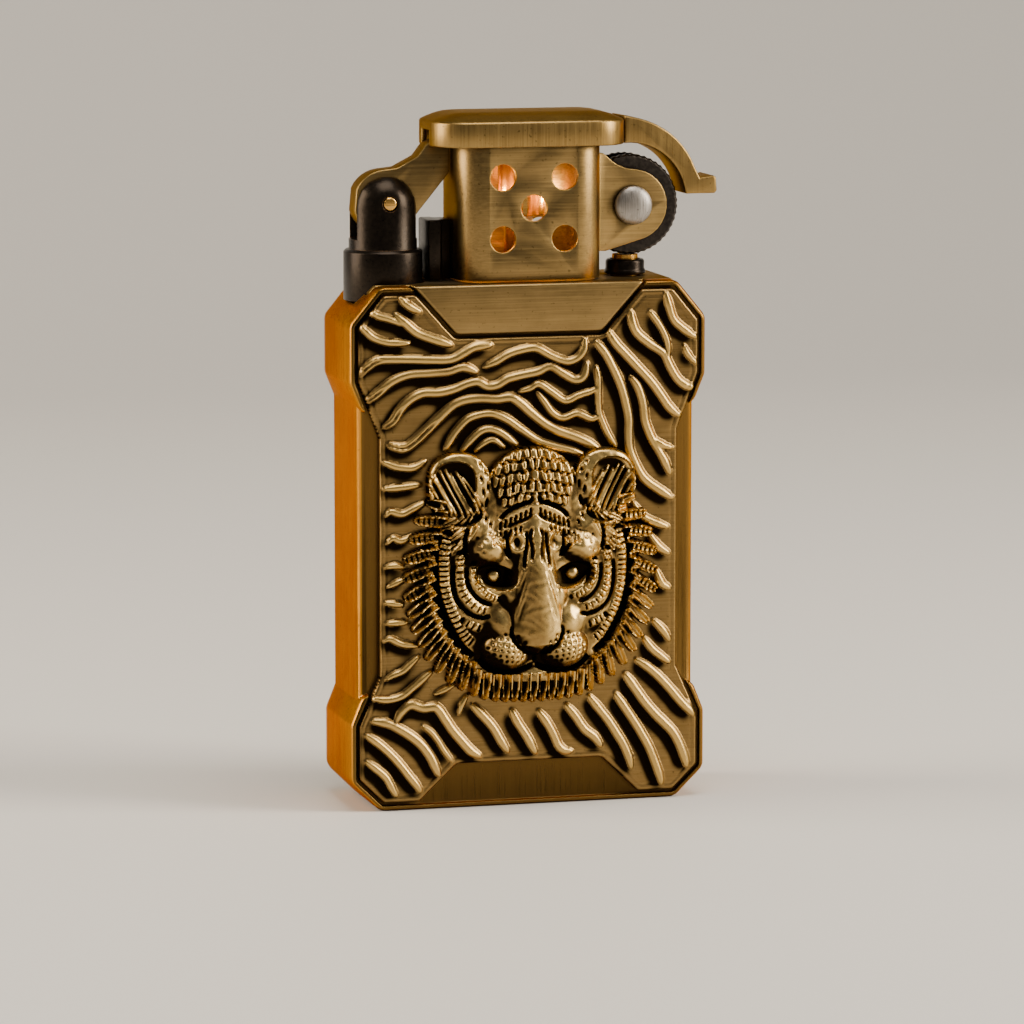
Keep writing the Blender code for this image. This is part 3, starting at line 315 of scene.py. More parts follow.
# sizes in millimetres, colours in hex; a span is where an effect starts and where it is full
# the dark colour goes into the pits, and into corners and recesses as patina with painted shade
baseLook = {"metallic": 1.0, "grazing": "#FFFFFF", "cloudSize": 5.0, "cloudSpan": (0.3, 0.7),
            "lines": "X", "linePitch": 0.16, "lineLength": 9.0, "lineShow": 0.35, "lineDepth": 0.010,
            "lineSpan": (0.35, 0.68), "speckSize": 0.35, "speckShow": 0.5, "speckDepth": 0.004,
            "speckSpan": (0.66, 0.74), "recess": 0.8, "recessShow": 0.9, "recessSpan": (0.35, 0.8),
            "recessDull": 0.25, "edgeWidth": 0.14, "edgeShow": 0.8, "wornSpan": (0.97, 0.82)}
goldLook = {**baseLook, "grazing": "#E0A040", "shade": "#A86C1E", "colour": "#BE8128", "bright": "#E2A845",
            "patinaAndShade": "#2E1C08", "edge": "#F0C470", "roughness": 0.30, "spread": 0.12, "lines": "Z"}
antiqueLook = {**baseLook, "grazing": "#C0A060", "shade": "#75603A", "colour": "#8E7448", "bright": "#B4965E",
               "patinaAndShade": "#140C04", "edge": "#D3AE63", "roughness": 0.36, "spread": 0.12}
gunLook = {**baseLook, "shade": "#1C1612", "colour": "#262019", "bright": "#3A3026", "patinaAndShade": "#0B0806",
           "edge": "#8A6236", "roughness": 0.30, "spread": 0.08, "lineShow": 0.3, "metallic": 0.9,
           "lines": "none", "linePitch": 0.4, "edgeWidth": 0.10, "edgeShow": 0.5}
steelLook = {**baseLook, "shade": "#8E8B86", "colour": "#A9A6A0", "bright": "#C9C6C0", "patinaAndShade": "#2B2926",
             "edge": "#E4E1DA", "roughness": 0.34, "spread": 0.1, "lines": "Z"}

# the fibres use the same nodes, with no metal in them
fibreLook = {**baseLook, "metallic": 0.0, "lines": "none", "linePitch": 0.25, "lineShow": 0.5,
             "lineDepth": 0.06, "shade": "#C9C2B0", "colour": "#DDD6C6", "bright": "#EFEADF",
             "patinaAndShade": "#8F8672", "edge": "#F2EEE4", "roughness": 0.9, "spread": 0.05, "edgeShow": 0.2,
             "speckDepth": 0.05}
finishOfSlot = {
    # gold plate over brass: satin lines up the height, warm and light
    # its faces towards the front and rear are painted darker: the plates' darker finish and painted shade
    "brushed_gold": makeMetal("brushed_gold_plate", {
        **goldLook, "front": "#5C4725", "frontSpan": (0.70, 0.93), "frontShow": 0.9}),
    # brass darkened by acid and brushed back: dull gold with black in the corners, partly patina and partly
    # painted shade
    "antique_brass": makeMetal("antique_brass_brushed_across", antiqueLook),
    "bright_brass": makeMetal("bright_turned_brass", {
        **goldLook, "lines": "X", "shade": "#C08A3C", "colour": "#DDA651", "bright": "#F0C983",
        "roughness": 0.22}),
    "gunmetal": makeMetal("black_nickel_plate", gunLook),
    "dark_steel": makeMetal("hardened_dark_steel", {
        **gunLook, "shade": "#262220", "colour": "#37322E", "bright": "#5A524A", "edge": "#8F857A",
        "roughness": 0.36}),
    "rivet_steel": makeMetal("turned_matt_steel", {
        **steelLook, "shade": "#827B74", "colour": "#9A938B", "roughness": 0.42}),
    "tank_steel": makeMetal("drawn_sheet_steel", steelLook),
    "spring_steel": makeMetal("spring_wire_steel", {**steelLook, "roughness": 0.28}),
    "flint_alloy": makeMetal("sintered_flint_alloy", {
        **steelLook, "shade": "#4A4744", "colour": "#5E5A56", "bright": "#77726C", "lines": "none",
        "roughness": 0.6}),
    "cotton": makeMetal("loose_cotton_fibre", fibreLook),
    "felt": makeMetal("pressed_wool_felt", {
        **fibreLook, "shade": "#8F8877", "colour": "#A49C8A", "bright": "#B8B09D", "patinaAndShade": "#5E5747"}),
    "wick_cord": makeMetal("braided_cotton_wick", {
        **fibreLook, "lines": "Z", "linePitch": 0.35, "lineLength": 1.2, "shade": "#AFA58F",
        "colour": "#CFC6B1"}),
}
antiqueUp = makeMetal("antique_brass_brushed_up", {
    **antiqueLook, "lines": "Z", "shade": "#7C6238", "colour": "#967A48", "bright": "#BE9E60"})
finishOfNode = {"snuffer_cap": antiqueUp, "thumb_tail": antiqueUp}
# the two reliefs take their wear, patina and painted shade from their own height
reliefLook = {**antiqueLook, "crest": True, "crestNoise": 0.25, "crestShow": 0.85,
              "patinaAndShadeSpan": (-0.72, -0.04), "brightSpan": (0.45, 1.25), "lineShow": 0.25, "lineDepth": 0.004,
              "shade": "#725A34", "colour": "#86693C", "edge": "#CBA862", "roughness": 0.33}
antiqueRelief = makeMetal("antique_brass_struck_relief", reliefLook)
antiqueHead = makeMetal("antique_brass_cast_head", {
    **reliefLook, "lines": "none", "linePitch": 0.5, "patinaAndShadeSpan": (-0.5, 0.0), "brightSpan": (0.2, 0.85),
    "shade": "#7B6236", "colour": "#927444", "edge": "#D6B46E", "roughness": 0.30})
slotOfNode = {}
for name, node in nodes.items():
    for finishSlot in node.material_slots:
        slotOfNode[name] = finishSlot.material.name.split(".")[0]
        finishSlot.material = finishOfNode.get(name, finishOfSlot[slotOfNode[name]])


# relief tools: sizes in millimetres, X across and Z up
def smoothLine(points, steps=5):
    p = np.asarray(points, float)
    p = np.vstack([2 * p[0] - p[1], p, 2 * p[-1] - p[-2]])
    t = np.linspace(0, 1, steps, endpoint=False)[:, None]
    parts = [0.5 * (2 * b + (c - a) * t + (2 * a - 5 * b + 4 * c - d) * t ** 2
                    + (3 * b - a - 3 * c + d) * t ** 3)
             for a, b, c, d in zip(p[:-3], p[1:-2], p[2:-1], p[3:])]
    return np.vstack(parts + [p[-2:-1]])


def nearLine(x, z, points, reach):
    # the points within reach of the line: which, how far, how far along, the line's length
    line = smoothLine(points)
    low, high = line.min(0) - reach, line.max(0) + reach
    near = np.flatnonzero((x > low[0]) & (x < high[0]) & (z > low[1]) & (z < high[1]))
    px, pz = x[near], z[near]
    best, along, start = np.full(len(near), 1e9), np.zeros(len(near)), 0.0
    for a, b in zip(line[:-1], line[1:]):
        d = b - a
        length = max(math.hypot(*d), 1e-9)
        t = np.clip(((px - a[0]) * d[0] + (pz - a[1]) * d[1]) / length ** 2, 0, 1)
        off = np.hypot(px - a[0] - t * d[0], pz - a[1] - t * d[1])
        closer = off < best
        best[closer], along[closer] = off[closer], start + t[closer] * length
        start += length
    inside = best < reach
    return near[inside], best[inside], along[inside], start


def hump(off, half, power=2.2):
    return np.clip(1 - (off / half) ** power, 0, None)


# a ridge is narrower and lower at its ends; a doubled one has a fine line down its start
ridgeShape = {"taper": 1.2, "endWidth": 0.42, "endHeight": 0.62, "lineDepth": 0.55, "lineHalf": 0.13,
              "lineFade": 1.0}


def ridge(height, x, z, points, half, tall, doubled):
    near, off, along, total = nearLine(x, z, points, half)
    ends = np.sqrt(np.clip(np.minimum(along, total - along) / ridgeShape["taper"], 0, 1))
    width = half * (ridgeShape["endWidth"] + (1 - ridgeShape["endWidth"]) * ends)
    rise = hump(off, width) * tall * (ridgeShape["endHeight"] + (1 - ridgeShape["endHeight"]) * ends)
    if doubled:
        fade = np.clip((doubled - along) / ridgeShape["lineFade"], 0, 1)
        rise -= ridgeShape["lineDepth"] * tall * np.exp(-(off / ridgeShape["lineHalf"]) ** 2) * fade
    height[near] = np.maximum(height[near], rise)


def groove(height, x, z, points, half, deep, taper=0.6):
    near, off, along, total = nearLine(x, z, points, half)
    ends = np.clip(np.minimum(along, total - along) / taper, 0, 1)
    height[near] -= hump(off, half) * deep * ends


def blurred(field, cells):
    # three box blurs, near enough to a bell curve
    for axis in (0, 1):
        for _ in range(3):
            pad = [(0, 0), (0, 0)]
            pad[axis] = (cells, cells + 1)
            total = np.cumsum(np.pad(field, pad, mode="edge"), axis=axis)
            size = field.shape[axis]
            upper = np.take(total, np.arange(2 * cells + 1, 2 * cells + 1 + size), axis=axis)
            lower = np.take(total, np.arange(size), axis=axis)
            field = (upper - lower) / (2 * cells + 1)
    return field


def cellCorners(mesh):
    corners = np.empty(len(mesh.polygons) * 4, int)
    mesh.polygons.foreach_get("vertices", corners)
    return corners.reshape(-1, 4)


def edgeUses(mesh):
    # how many faces each edge has
    uses = np.empty(len(mesh.loops), int)
    mesh.loops.foreach_get("edge_index", uses)
    return np.bincount(uses, minlength=len(mesh.edges))


def ontoOutline(edgeField, x, z, most, probe=0.02, rounds=4):
    # moves each place against the field's slope until it stands on the outline
    for _ in range(rounds):
        off = np.clip(edgeField(x, z), -most, most)
        slopeX = (edgeField(x + probe, z) - edgeField(x - probe, z)) / (2 * probe)
        slopeZ = (edgeField(x, z + probe) - edgeField(x, z - probe)) / (2 * probe)
        size = np.maximum(slopeX ** 2 + slopeZ ** 2, 0.25)
        x, z = x - off * slopeX / size, z - off * slopeZ / size
    return x, z


def reliefSheet(name, spec, edgeField, heightField):
    # a fine grid cut to its outline, raised to its height, then given a wall and a back
    (x0, x1), (z0, z1), step = spec["across"], spec["up"], spec["step"]
    deselectAll()
    bpy.ops.mesh.primitive_grid_add(x_subdivisions=round((x1 - x0) / step),
                                    y_subdivisions=round((z1 - z0) / step), size=1)
    sheet = bpy.context.object
    sheet.name = name
    co = places(sheet)
    wide = len(np.unique(np.round(co[:, 0], 6)))
    x, z = x0 + (co[:, 0] + 0.5) * (x1 - x0), z0 + (co[:, 1] + 0.5) * (z1 - z0)
    height, edge = heightField(x, z), edgeField(x, z)
    place(sheet, np.column_stack([x * mm, -(spec["ground"] + height) * mm, z * mm]))
    # height above the surroundings, for the wear, patina and painted shade in the material
    field = np.where(edge > 0, height, 0.0).reshape(-1, wide)
    crest = (field - blurred(field, round(spec["blur"] / step))) / spec["crestScale"]
    mark = sheet.data.attributes.new("crest", "FLOAT", "POINT")
    mark.data.foreach_set("value", crest.ravel().astype(np.float32))
    selectParts(sheet, "FACE", edge[cellCorners(sheet.data)].mean(1) <= 0)
    bpy.ops.mesh.delete(type="FACE")
    objectMode()
    rim = edgeUses(sheet.data) == 1
    ends = np.empty(len(sheet.data.edges) * 2, int)
    sheet.data.edges.foreach_get("vertices", ends)
    onRim = np.unique(ends.reshape(-1, 2)[rim])
    co = places(sheet)
    rimX, rimZ = ontoOutline(edgeField, co[onRim, 0] / mm, co[onRim, 2] / mm, step)
    co[onRim] = np.column_stack([rimX, -(spec["ground"] + heightField(rimX, rimZ)), rimZ]) * mm
    place(sheet, co)
    count = len(co)
    selectParts(sheet, "EDGE", rim)
    bpy.ops.mesh.extrude_region_move(TRANSFORM_OT_translate={"value": (0, mm, 0)})
    objectMode()
    co = places(sheet)
    co[count:, 1] = -spec["back"] * mm
    place(sheet, co)
    bpy.ops.object.mode_set(mode="EDIT")
    bpy.ops.mesh.edge_face_add()
    bpy.ops.mesh.select_all(action="SELECT")
    bpy.ops.mesh.normals_make_consistent(inside=False)
    objectMode()
    bpy.ops.object.shade_smooth_by_angle(angle=math.radians(spec["crease"]))
    print("scene:", name, len(sheet.data.polygons), "faces")
    return sheet


print("scene: front relief plate")
plateSpec = {"across": (-17.98, 17.98), "up": (0.52, 52.48), "step": 0.146, "ground": 6.60, "back": 5.70,
             "blur": 0.45, "crestScale": 0.16, "crease": 50, "ridgeTall": 0.46, "ridgeWiden": 0.06,
             "uneven": 0.012, "edgeRound": 0.30, "borderIn": 0.62, "borderHalf": 0.12, "borderDeep": 0.05}


def frontOutline(name):
    # the loop round the front face of a CAD node, in millimetres
    node = nodes[name]
    co = places(node) / mm
    front = co[:, 1].min()
    count = {}
    for face in node.data.polygons:
        if all(abs(co[v, 1] - front) < 0.01 for v in face.vertices):
            ring = [tuple(np.round(co[v][[0, 2]], 3)) for v in face.vertices]
            for a, b in zip(ring, ring[1:] + ring[:1]):
                count[frozenset((a, b))] = count.get(frozenset((a, b)), 0) + 1
    sides = [tuple(e) for e, n in count.items() if n == 1 and len(e) == 2]
    return [(np.array(a), np.array(b)) for a, b in sides]


def outlineField(sides):
    # distance to the outline, above zero inside it
    a, b = np.array([s[0] for s in sides]), np.array([s[1] for s in sides])

    def field(x, z):
        best, inside = np.full(len(x), 1e9), np.zeros(len(x), bool)
        for (ax, az), (bx, bz) in zip(a, b):
            dx, dz = bx - ax, bz - az
            t = np.clip(((x - ax) * dx + (z - az) * dz) / (dx * dx + dz * dz), 0, 1)
            best = np.minimum(best, np.hypot(x - ax - t * dx, z - az - t * dz))
            crosses = (az > z) != (bz > z)
            inside ^= crosses & (x < (bx - ax) * (z - az) / (bz - az if bz != az else 1e-9) + ax)
        return np.where(inside, best, -best)
    return field


plateEdge = outlineField(frontOutline("front_relief_plate"))
# stripes: half-width, length of the doubled start (0 for none), then the line from end to end
stripes = [
    (0.45, 0, (-13.4, 52.0), (-12.9, 51.4), (-12.2, 50.9), (-11.3, 50.5)),
    (0.40, 0, (-16.7, 50.9), (-15.7, 50.2), (-14.4, 49.8), (-13.2, 49.2)),
    (0.50, 0, (-13.9, 50.3), (-12.9, 49.4), (-11.7, 48.4), (-10.3, 47.8), (-9.1, 47.4), (-8.1, 47.1)),
    (0.40, 0, (-17.4, 49.3), (-17.0, 48.8), (-16.1, 48.0), (-14.6, 47.5), (-12.5, 47.4)),
    (0.50, 3, (-17.4, 44.3), (-16.9, 45.0), (-15.8, 45.7), (-14.2, 45.8), (-12, 45.7), (-10, 45.6),
     (-8.2, 45.6), (-6.9, 46.2), (-5.7, 46.8), (-4.0, 47.0)),
    (0.50, 2.5, (-16.9, 41.6), (-15.7, 42.5), (-14.2, 43.6), (-12.6, 44.2), (-10.5, 44.3), (-8.5, 44.4),
     (-6.9, 44.8), (-5.5, 44.3)),
    (0.50, 3, (-15.1, 39.0), (-14.2, 39.6), (-13.4, 40.8), (-12.4, 41.7), (-11.1, 42.3), (-9.5, 42.3),
     (-7.9, 42.6), (-6.6, 43.1), (-5.4, 43.3), (-4.4, 42.8), (-3.4, 42.9), (-2.3, 43.5), (-1.0, 43.8),
     (0.7, 44.1), (2.1, 44.6), (3.4, 43.9), (4.7, 43.2), (5.6, 43.6), (5.95, 44.9)),
    (0.55, 6, (-14.6, 37.3), (-13.9, 37.0), (-12.9, 36.9), (-11.7, 37.7), (-10.5, 38.8), (-9.3, 39.9),
     (-8.0, 41.0), (-6.7, 41.5), (-5.1, 41.6), (-3.4, 41.5), (-2.0, 41.6), (-1.0, 41.0), (0.1, 40.0),
     (1.6, 38.8), (3.1, 38.0), (4.9, 37.3), (6.3, 36.6), (7.2, 36.1)),
    (0.45, 0, (-8.8, 36.6), (-8.1, 37.8), (-7.4, 38.7), (-6.4, 39.6), (-5.1, 40.0), (-3.8, 40.0),
     (-2.4, 39.4), (-1.0, 38.4), (0.7, 37.2), (2.3, 36.6), (4.2, 36.1), (5.7, 35.5)),
    (0.45, 0, (-7.1, 36.4), (-6.1, 37.5), (-5.1, 38.3), (-4.1, 38.5), (-2.9, 38.0), (-1.4, 36.8)),
    (0.40, 0, (-5.7, 36.4), (-4.8, 37.1), (-3.8, 37.4), (-2.7, 36.6)),
    (0.45, 0, (-4.7, 44.8), (-3.5, 45.3), (-2.2, 46.0), (-0.7, 46.4), (0.7, 46.5), (2.2, 45.7),
     (3.8, 45.1), (4.9, 45.4), (5.6, 46.2), (5.75, 47.3)),
    (0.40, 0, (-1.1, 42.2), (0, 42.5), (0.9, 42.9), (2.3, 42.0), (3.7, 41.1), (5.0, 41.6), (6.4, 42.0),
     (7.1, 42.4)),
    (0.40, 0, (0.7, 42.1), (1.5, 41.1), (2.4, 39.9), (3.5, 39.4), (4.9, 39.8), (6.4, 39.2), (7.3, 39.5)),
    (0.35, 0, (6.9, 44.5), (7.1, 43.1), (7.1, 41.6), (7.2, 39.9), (7.7, 38.5), (8.3, 37.3), (9.0, 36.3)),
    (0.50, 0, (6.9, 47.0), (7.9, 45.7), (8.8, 44.0), (9.5, 42.4), (10.0, 40.7), (10.3, 39.1), (10.3, 37.4),
     (10.4, 36.0), (11.0, 34.5), (11.9, 33.0), (13.3, 31.9), (14.9, 30.9)),
    (0.50, 0, (8.2, 48.0), (8.9, 46.8), (10.1, 45.5), (11.5, 44.0), (12.7, 42.7), (13.8, 41.2),
     (14.6, 40.1), (15.6, 39.3)),
    (0.50, 0, (10.5, 50.0), (10.7, 48.7), (11.2, 47.7), (12.5, 46.6), (13.9, 45.6), (14.6, 44.3),
     (15.4, 43.0), (16.3, 42.3), (17.4, 42.0)),
    (0.35, 0, (12.5, 49.9), (13.4, 48.7), (14.1, 47.4), (14.4, 46.3), (14.4, 45.1)),
    (0.45, 0, (14.2, 51.7), (14.5, 50.4), (15.0, 49.0), (16.1, 48.0), (17.3, 47.2)),
    (0.35, 0, (16.1, 46.4), (16.5, 45.5), (17.4, 44.5)),
    (0.50, 0, (10.5, 43.4), (11.3, 42.2), (11.8, 40.6), (12.0, 38.9), (12.5, 37.5), (13.2, 36.1),
     (14.0, 34.8), (14.7, 33.4)),
    (0.40, 0, (12.8, 37.1), (13.9, 36.3), (14.9, 36.0)),
    (0.40, 0, (-15.1, 35.5), (-13.9, 35.0), (-12.5, 34.8), (-11.6, 35.0), (-10.9, 35.5)),
    (0.40, 0, (-15.1, 32.8), (-13.3, 32.9), (-11.4, 33.1)),
    (0.40, 0, (-14.9, 30.1), (-14.4, 30.5), (-13.3, 30.2), (-12.3, 30.6), (-10.9, 31.3)),
    (0.38, 0, (-14.8, 27.3), (-14.2, 27.8), (-13.3, 27.5), (-12.2, 28.0)),
    (0.38, 0, (-15, 24.9), (-14, 25.0), (-13, 24.8)),
    (0.38, 0, (-14.7, 22.9), (-12.9, 23.7)),
    (0.38, 0, (-15, 21.3), (-13.2, 21.0)),
    (0.38, 0, (-14.9, 19.2), (-12.7, 19.2)),
    (0.38, 0, (-15.1, 17.4), (-14.5, 17.6), (-13.2, 17.0), (-11.6, 16.8)),
    (0.38, 0, (-15, 13.5), (-14.2, 13.9), (-13.2, 14.3), (-12.4, 15.0), (-11.6, 15.7)),
    (0.42, 0, (-16.3, 11.6), (-14.8, 11.4), (-13.4, 11.7), (-12.4, 12.4), (-11.4, 13.2), (-10.3, 14.1)),
    (0.35, 0, (-9.9, 11.8), (-8.9, 12.2), (-7.9, 12.7)),
    (0.38, 0, (-6.6, 11.5), (-7.1, 10.7), (-7.4, 9.7)),
    (0.55, 0, (-16.3, 9.3), (-14.9, 9.0), (-13.7, 8.4), (-12.6, 7.7), (-11.4, 6.7), (-10.5, 5.5),
     (-10, 4.5), (-9.5, 3.5)),
    (0.55, 0, (-14.0, 9.1), (-13.4, 10.1), (-12.4, 10.8), (-11.1, 10.4), (-9.8, 10.4), (-8.9, 9.2),
     (-8.1, 8.0), (-7.2, 6.9), (-6.2, 5.8), (-5.2, 5.2)),
    (0.30, 0, (-11.2, 8.6), (-10.3, 7.9), (-9.6, 7.0), (-9.0, 6.0), (-8.1, 4.8)),
    (0.45, 0, (-17.0, 7.9), (-15.8, 7.0), (-14.6, 5.9), (-13.6, 4.8), (-12.6, 3.5), (-11.8, 2.5),
     (-11.4, 1.9)),
    (0.40, 0, (-17.0, 5.2), (-16.1, 4.5), (-15.0, 3.5), (-14.4, 2.4), (-13.9, 1.6)),
    (0.50, 0, (-6.0, 10.5), (-4.8, 9.2), (-3.8, 8.0), (-3.0, 6.6), (-2.3, 5.6)),
    (0.50, 0, (-1.9, 9.8), (-1.3, 8.5), (-0.4, 7.1), (0.2, 6.0), (0.6, 5.3)),
    (0.50, 0, (0.9, 9.6), (1.8, 8.3), (2.5, 7.0), (3.0, 5.9), (3.6, 5.4), (4.4, 5.3)),
    (0.50, 0, (3.8, 10.1), (4.8, 8.8), (5.7, 7.5), (6.8, 6.6), (7.5, 5.7)),
    (0.50, 0, (6.2, 10.9), (7.1, 9.7), (8.2, 8.3), (9.0, 7.1), (9.8, 5.8), (10.4, 4.4), (10.7, 3.3)),
    (0.50, 0, (9.0, 11.0), (10.0, 9.5), (11.0, 8.0), (11.9, 6.5), (12.6, 5.2), (13.2, 3.7), (13.7, 2.3),
     (13.9, 1.5)),
    (0.55, 0, (10.0, 13.0), (11.0, 11.5), (12.0, 10.1), (13.1, 8.8), (14.2, 7.7), (15.1, 6.7), (15.8, 5.4),
     (16.3, 4.1), (16.6, 3.2)),
    (0.50, 0, (11.2, 14.4), (12.5, 13.5), (13.8, 12.3), (14.8, 11.2), (15.8, 10.0), (16.8, 9.0), (17.2, 8.5)),
    (0.45, 0, (10.8, 30.5), (11.7, 29.2), (12.9, 28.5), (14.5, 27.9)),
    (0.48, 0, (12.5, 27.3), (13.4, 26.0), (14.6, 25.2)),
    (0.48, 0, (13.2, 23.6), (13.8, 22.2), (14.7, 21.6)),
    (0.45, 0, (13.0, 18.4), (14.0, 17.3), (14.7, 16.3)),
    (0.45, 0, (12.0, 16.6), (13.0, 15.3), (14.7, 14.0)),
]


def plateHeight(x, z):
    height = np.zeros(len(x))
    for half, doubled, *line in stripes:
        ridge(height, x, z, line, half + plateSpec["ridgeWiden"], plateSpec["ridgeTall"], doubled)
    # a slow unevenness, as in a struck blank
    drift = np.sin(x * 1.7 + 1.3 * np.sin(z * 0.9)) * np.sin(z * 1.3 + np.sin(x * 1.1))
    height += plateSpec["uneven"] * drift
    edge = np.clip(plateEdge(x, z), 0, None)
    r = plateSpec["edgeRound"]
    height -= r - np.sqrt(np.clip(r * r - np.clip(r - edge, 0, r) ** 2, 0, None))
    # a thin line follows the border just inside the edge
    inLine = (edge - plateSpec["borderIn"]) / plateSpec["borderHalf"]
    height -= plateSpec["borderDeep"] * np.exp(-inLine ** 2)
    return height


plate = reliefSheet("front_relief", plateSpec, plateEdge, plateHeight)
plate.data.materials.append(antiqueRelief)
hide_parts("front_relief_plate")
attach(plate, "case")

print("scene: tiger head")
headSpec = {"across": (-13.28, 13.28), "up": (9.3, 36.58), "step": 0.092, "ground": 6.72, "back": 6.58,
            "blur": 0.40, "crestScale": 0.22, "crease": 50, "least": 0.12, "most": 3.62,
            "edgeRound": 0.35, "edgeDrop": 0.30, "uneven": 0.018}
farBelow = -3.0   # height given to a mound away from itself, so that it never shows


def bulge(x, z, cx, cz, rx, rz, top, turn=0.0, power=1.0):
    # a rounded mound: its height where the point is inside, far below elsewhere
    c, s = math.cos(math.radians(turn)), math.sin(math.radians(turn))
    u, v = (x - cx) * c + (z - cz) * s, -(x - cx) * s + (z - cz) * c
    inside = 1 - (u / rx) ** 2 - (v / rz) ** 2
    return np.where(inside > -1.2, top * np.sign(inside) * np.abs(inside) ** power, farBelow)


def softMax(a, b, reach):
    h = np.clip(0.5 + 0.5 * (a - b) / reach, 0, 1)
    return b + (a - b) * h + reach * h * (1 - h)


def leaf(x, z, baseX, baseZ, degrees, length, half):
    # along the leaf 0 to 1, and across it 0 at the middle to 1 at the edge
    c, s = math.cos(math.radians(degrees)), math.sin(math.radians(degrees))
    u = ((x - baseX) * c + (z - baseZ) * s) / length
    v = -(x - baseX) * s + (z - baseZ) * c
    width = half * np.sqrt(np.clip(1 - np.clip((u - 0.35) / 0.65, 0, 1) ** 2, 0, 1)) + 1e-6
    across = np.where((u > -0.15) & (u < 1), np.abs(v) / width, 9.0)
    return u, across

# tufts of the ruff round the head: base X, base Z, direction in degrees, length, half-width, ticks across it
ruff = [
    (8.9, 30.9, 14, 2.2, 0.66, 0), (9.6, 29.4, 4, 2.6, 0.74, 1), (10.1, 27.9, -7, 2.8, 0.78, 1),
    (10.4, 26.3, -15, 3.0, 0.80, 1), (10.6, 24.7, -23, 3.0, 0.80, 1), (10.6, 23.1, -31, 3.1, 0.78, 1),
    (10.5, 21.6, -38, 3.0, 0.76, 0), (10.2, 20.2, -43, 3.0, 0.72, 0), (9.7, 18.9, -48, 3.0, 0.70, 0),
    (9.2, 17.8, -55, 3.1, 0.66, 0), (8.5, 16.8, -64, 3.2, 0.64, 0), (7.7, 15.9, -74, 3.2, 0.60, 0),
    (6.8, 15.2, -81, 3.2, 0.57, 0), (5.85, 14.6, -86, 3.2, 0.56, 0), (4.85, 14.2, -88, 3.2, 0.55, 0),
    (3.85, 14.0, -90, 3.2, 0.55, 0), (2.88, 13.9, -91, 3.2, 0.54, 0), (1.92, 13.9, -90, 3.2, 0.54, 0),
    (0.96, 13.9, -90, 3.25, 0.53, 0), (0.0, 13.9, -90, 3.3, 0.53, 0),
]
ruffLook = {"base": 1.22, "chinRise": 0.45, "fall": 0.62, "rimTall": 0.30, "rimAt": 0.70, "rimHalf": 0.24,
            "creaseDeep": 0.22, "creaseHalf": 0.38, "tickDeep": 0.24, "tickPitch": 0.52, "edgeFall": 0.30,
            "secondTo": 12, "secondBack": 0.5, "secondSize": 0.72, "secondRise": 0.22}
# outer egg and hollow: middle, half-width, reach above and below the middle
ear = {"rim": ((7.6, 33.2), 3.2, 3.15, 4.2), "hollow": ((8.2, 33.4), 2.25, 2.15, 3.6), "roundness": 2.3,
       "base": 0.9, "tall": 0.75, "lean": 0.055, "behind": 0.7, "deep": 1.15, "hairs": 10}


def lockField(ax, z, bx, bz, degrees, length, half):
    # a capsule with a narrower end
    c, s = math.cos(math.radians(degrees)), math.sin(math.radians(degrees))
    u, v = (ax - bx) * c + (z - bz) * s, -(ax - bx) * s + (z - bz) * c
    t = np.clip(u / (length - half * 0.8), 0, 1)
    return half * (1 - 0.3 * t) - np.hypot(u - t * (length - half * 0.8), v)


def earReach(ax, z, middle, wide, upper, lower):
    # 0 at the middle of an egg shape, 1 at its edge
    tall, n = np.where(z > middle[1], upper, lower), ear["roundness"]
    return (np.abs((ax - middle[0]) / wide) ** n + np.abs((z - middle[1]) / tall) ** n) ** (1 / n)


def headEdge(x, z):
    # how far inside the head's outline, near enough for cutting: face, crown, ears and ruff
    ax = np.abs(x)
    field = 11.0 * (1 - np.sqrt((ax / 11.0) ** 2 + ((z - 23.2) / 11.4) ** 2)) * 0.95
    field = np.maximum(field, 4.7 - np.hypot(ax * 0.95, z - 32.0))
    field = np.maximum(field, 3.0 * (1 - earReach(ax, z, *ear["rim"])))
    for bx, bz, degrees, length, half, _ in ruff:
        field = np.maximum(field, lockField(ax, z, bx, bz, degrees, length, half))
    return field


# the head is drawn for its right half, X from the middle outwards, and mirrored by taking X as a distance
# mounds, each blended into those before it: middle X and Z, half-width, half-height, top, turn, power, blend
upperMounds = {
    "skull": (0, 30.0, 6.4, 8.6, 2.3, 0, 0.8, 0.5),
    "forehead": (0, 27.0, 4.8, 5.0, 2.7, 0, 0.7, 0.5),
    "cheek": (5.6, 21.0, 4.6, 4.6, 2.1, 0, 0.7, 0.5),
    "temple": (6.0, 28.4, 3.2, 3.6, 2.15, 0, 0.8, 0.5),
    "brow": (4.7, 26.6, 3.1, 2.4, 3.0, -14, 0.85, 0.45),
    "nose flank": (2.3, 21.8, 1.9, 3.6, 2.75, 0, 0.9, 0.4),
}
lowerMounds = {
    "chin": (0, 13.4, 4.4, 2.2, 1.8, 0, 0.5, 0.3),
    "upper lip": (3.2, 18.9, 3.0, 3.4, 2.9, -12, 0.9, 0.5),
    "muzzle pad": (2.95, 16.4, 3.0, 2.5, 3.35, 8, 0.5, 0.25),
}
eye = {"socket": (4.15, 23.75, 2.25, 1.30, 1.0, 10), "steepness": 2.2, "floor": 0.95,
       "ball": (4.08, 23.8), "radius": 0.74, "base": 0.9, "tall": 0.66}
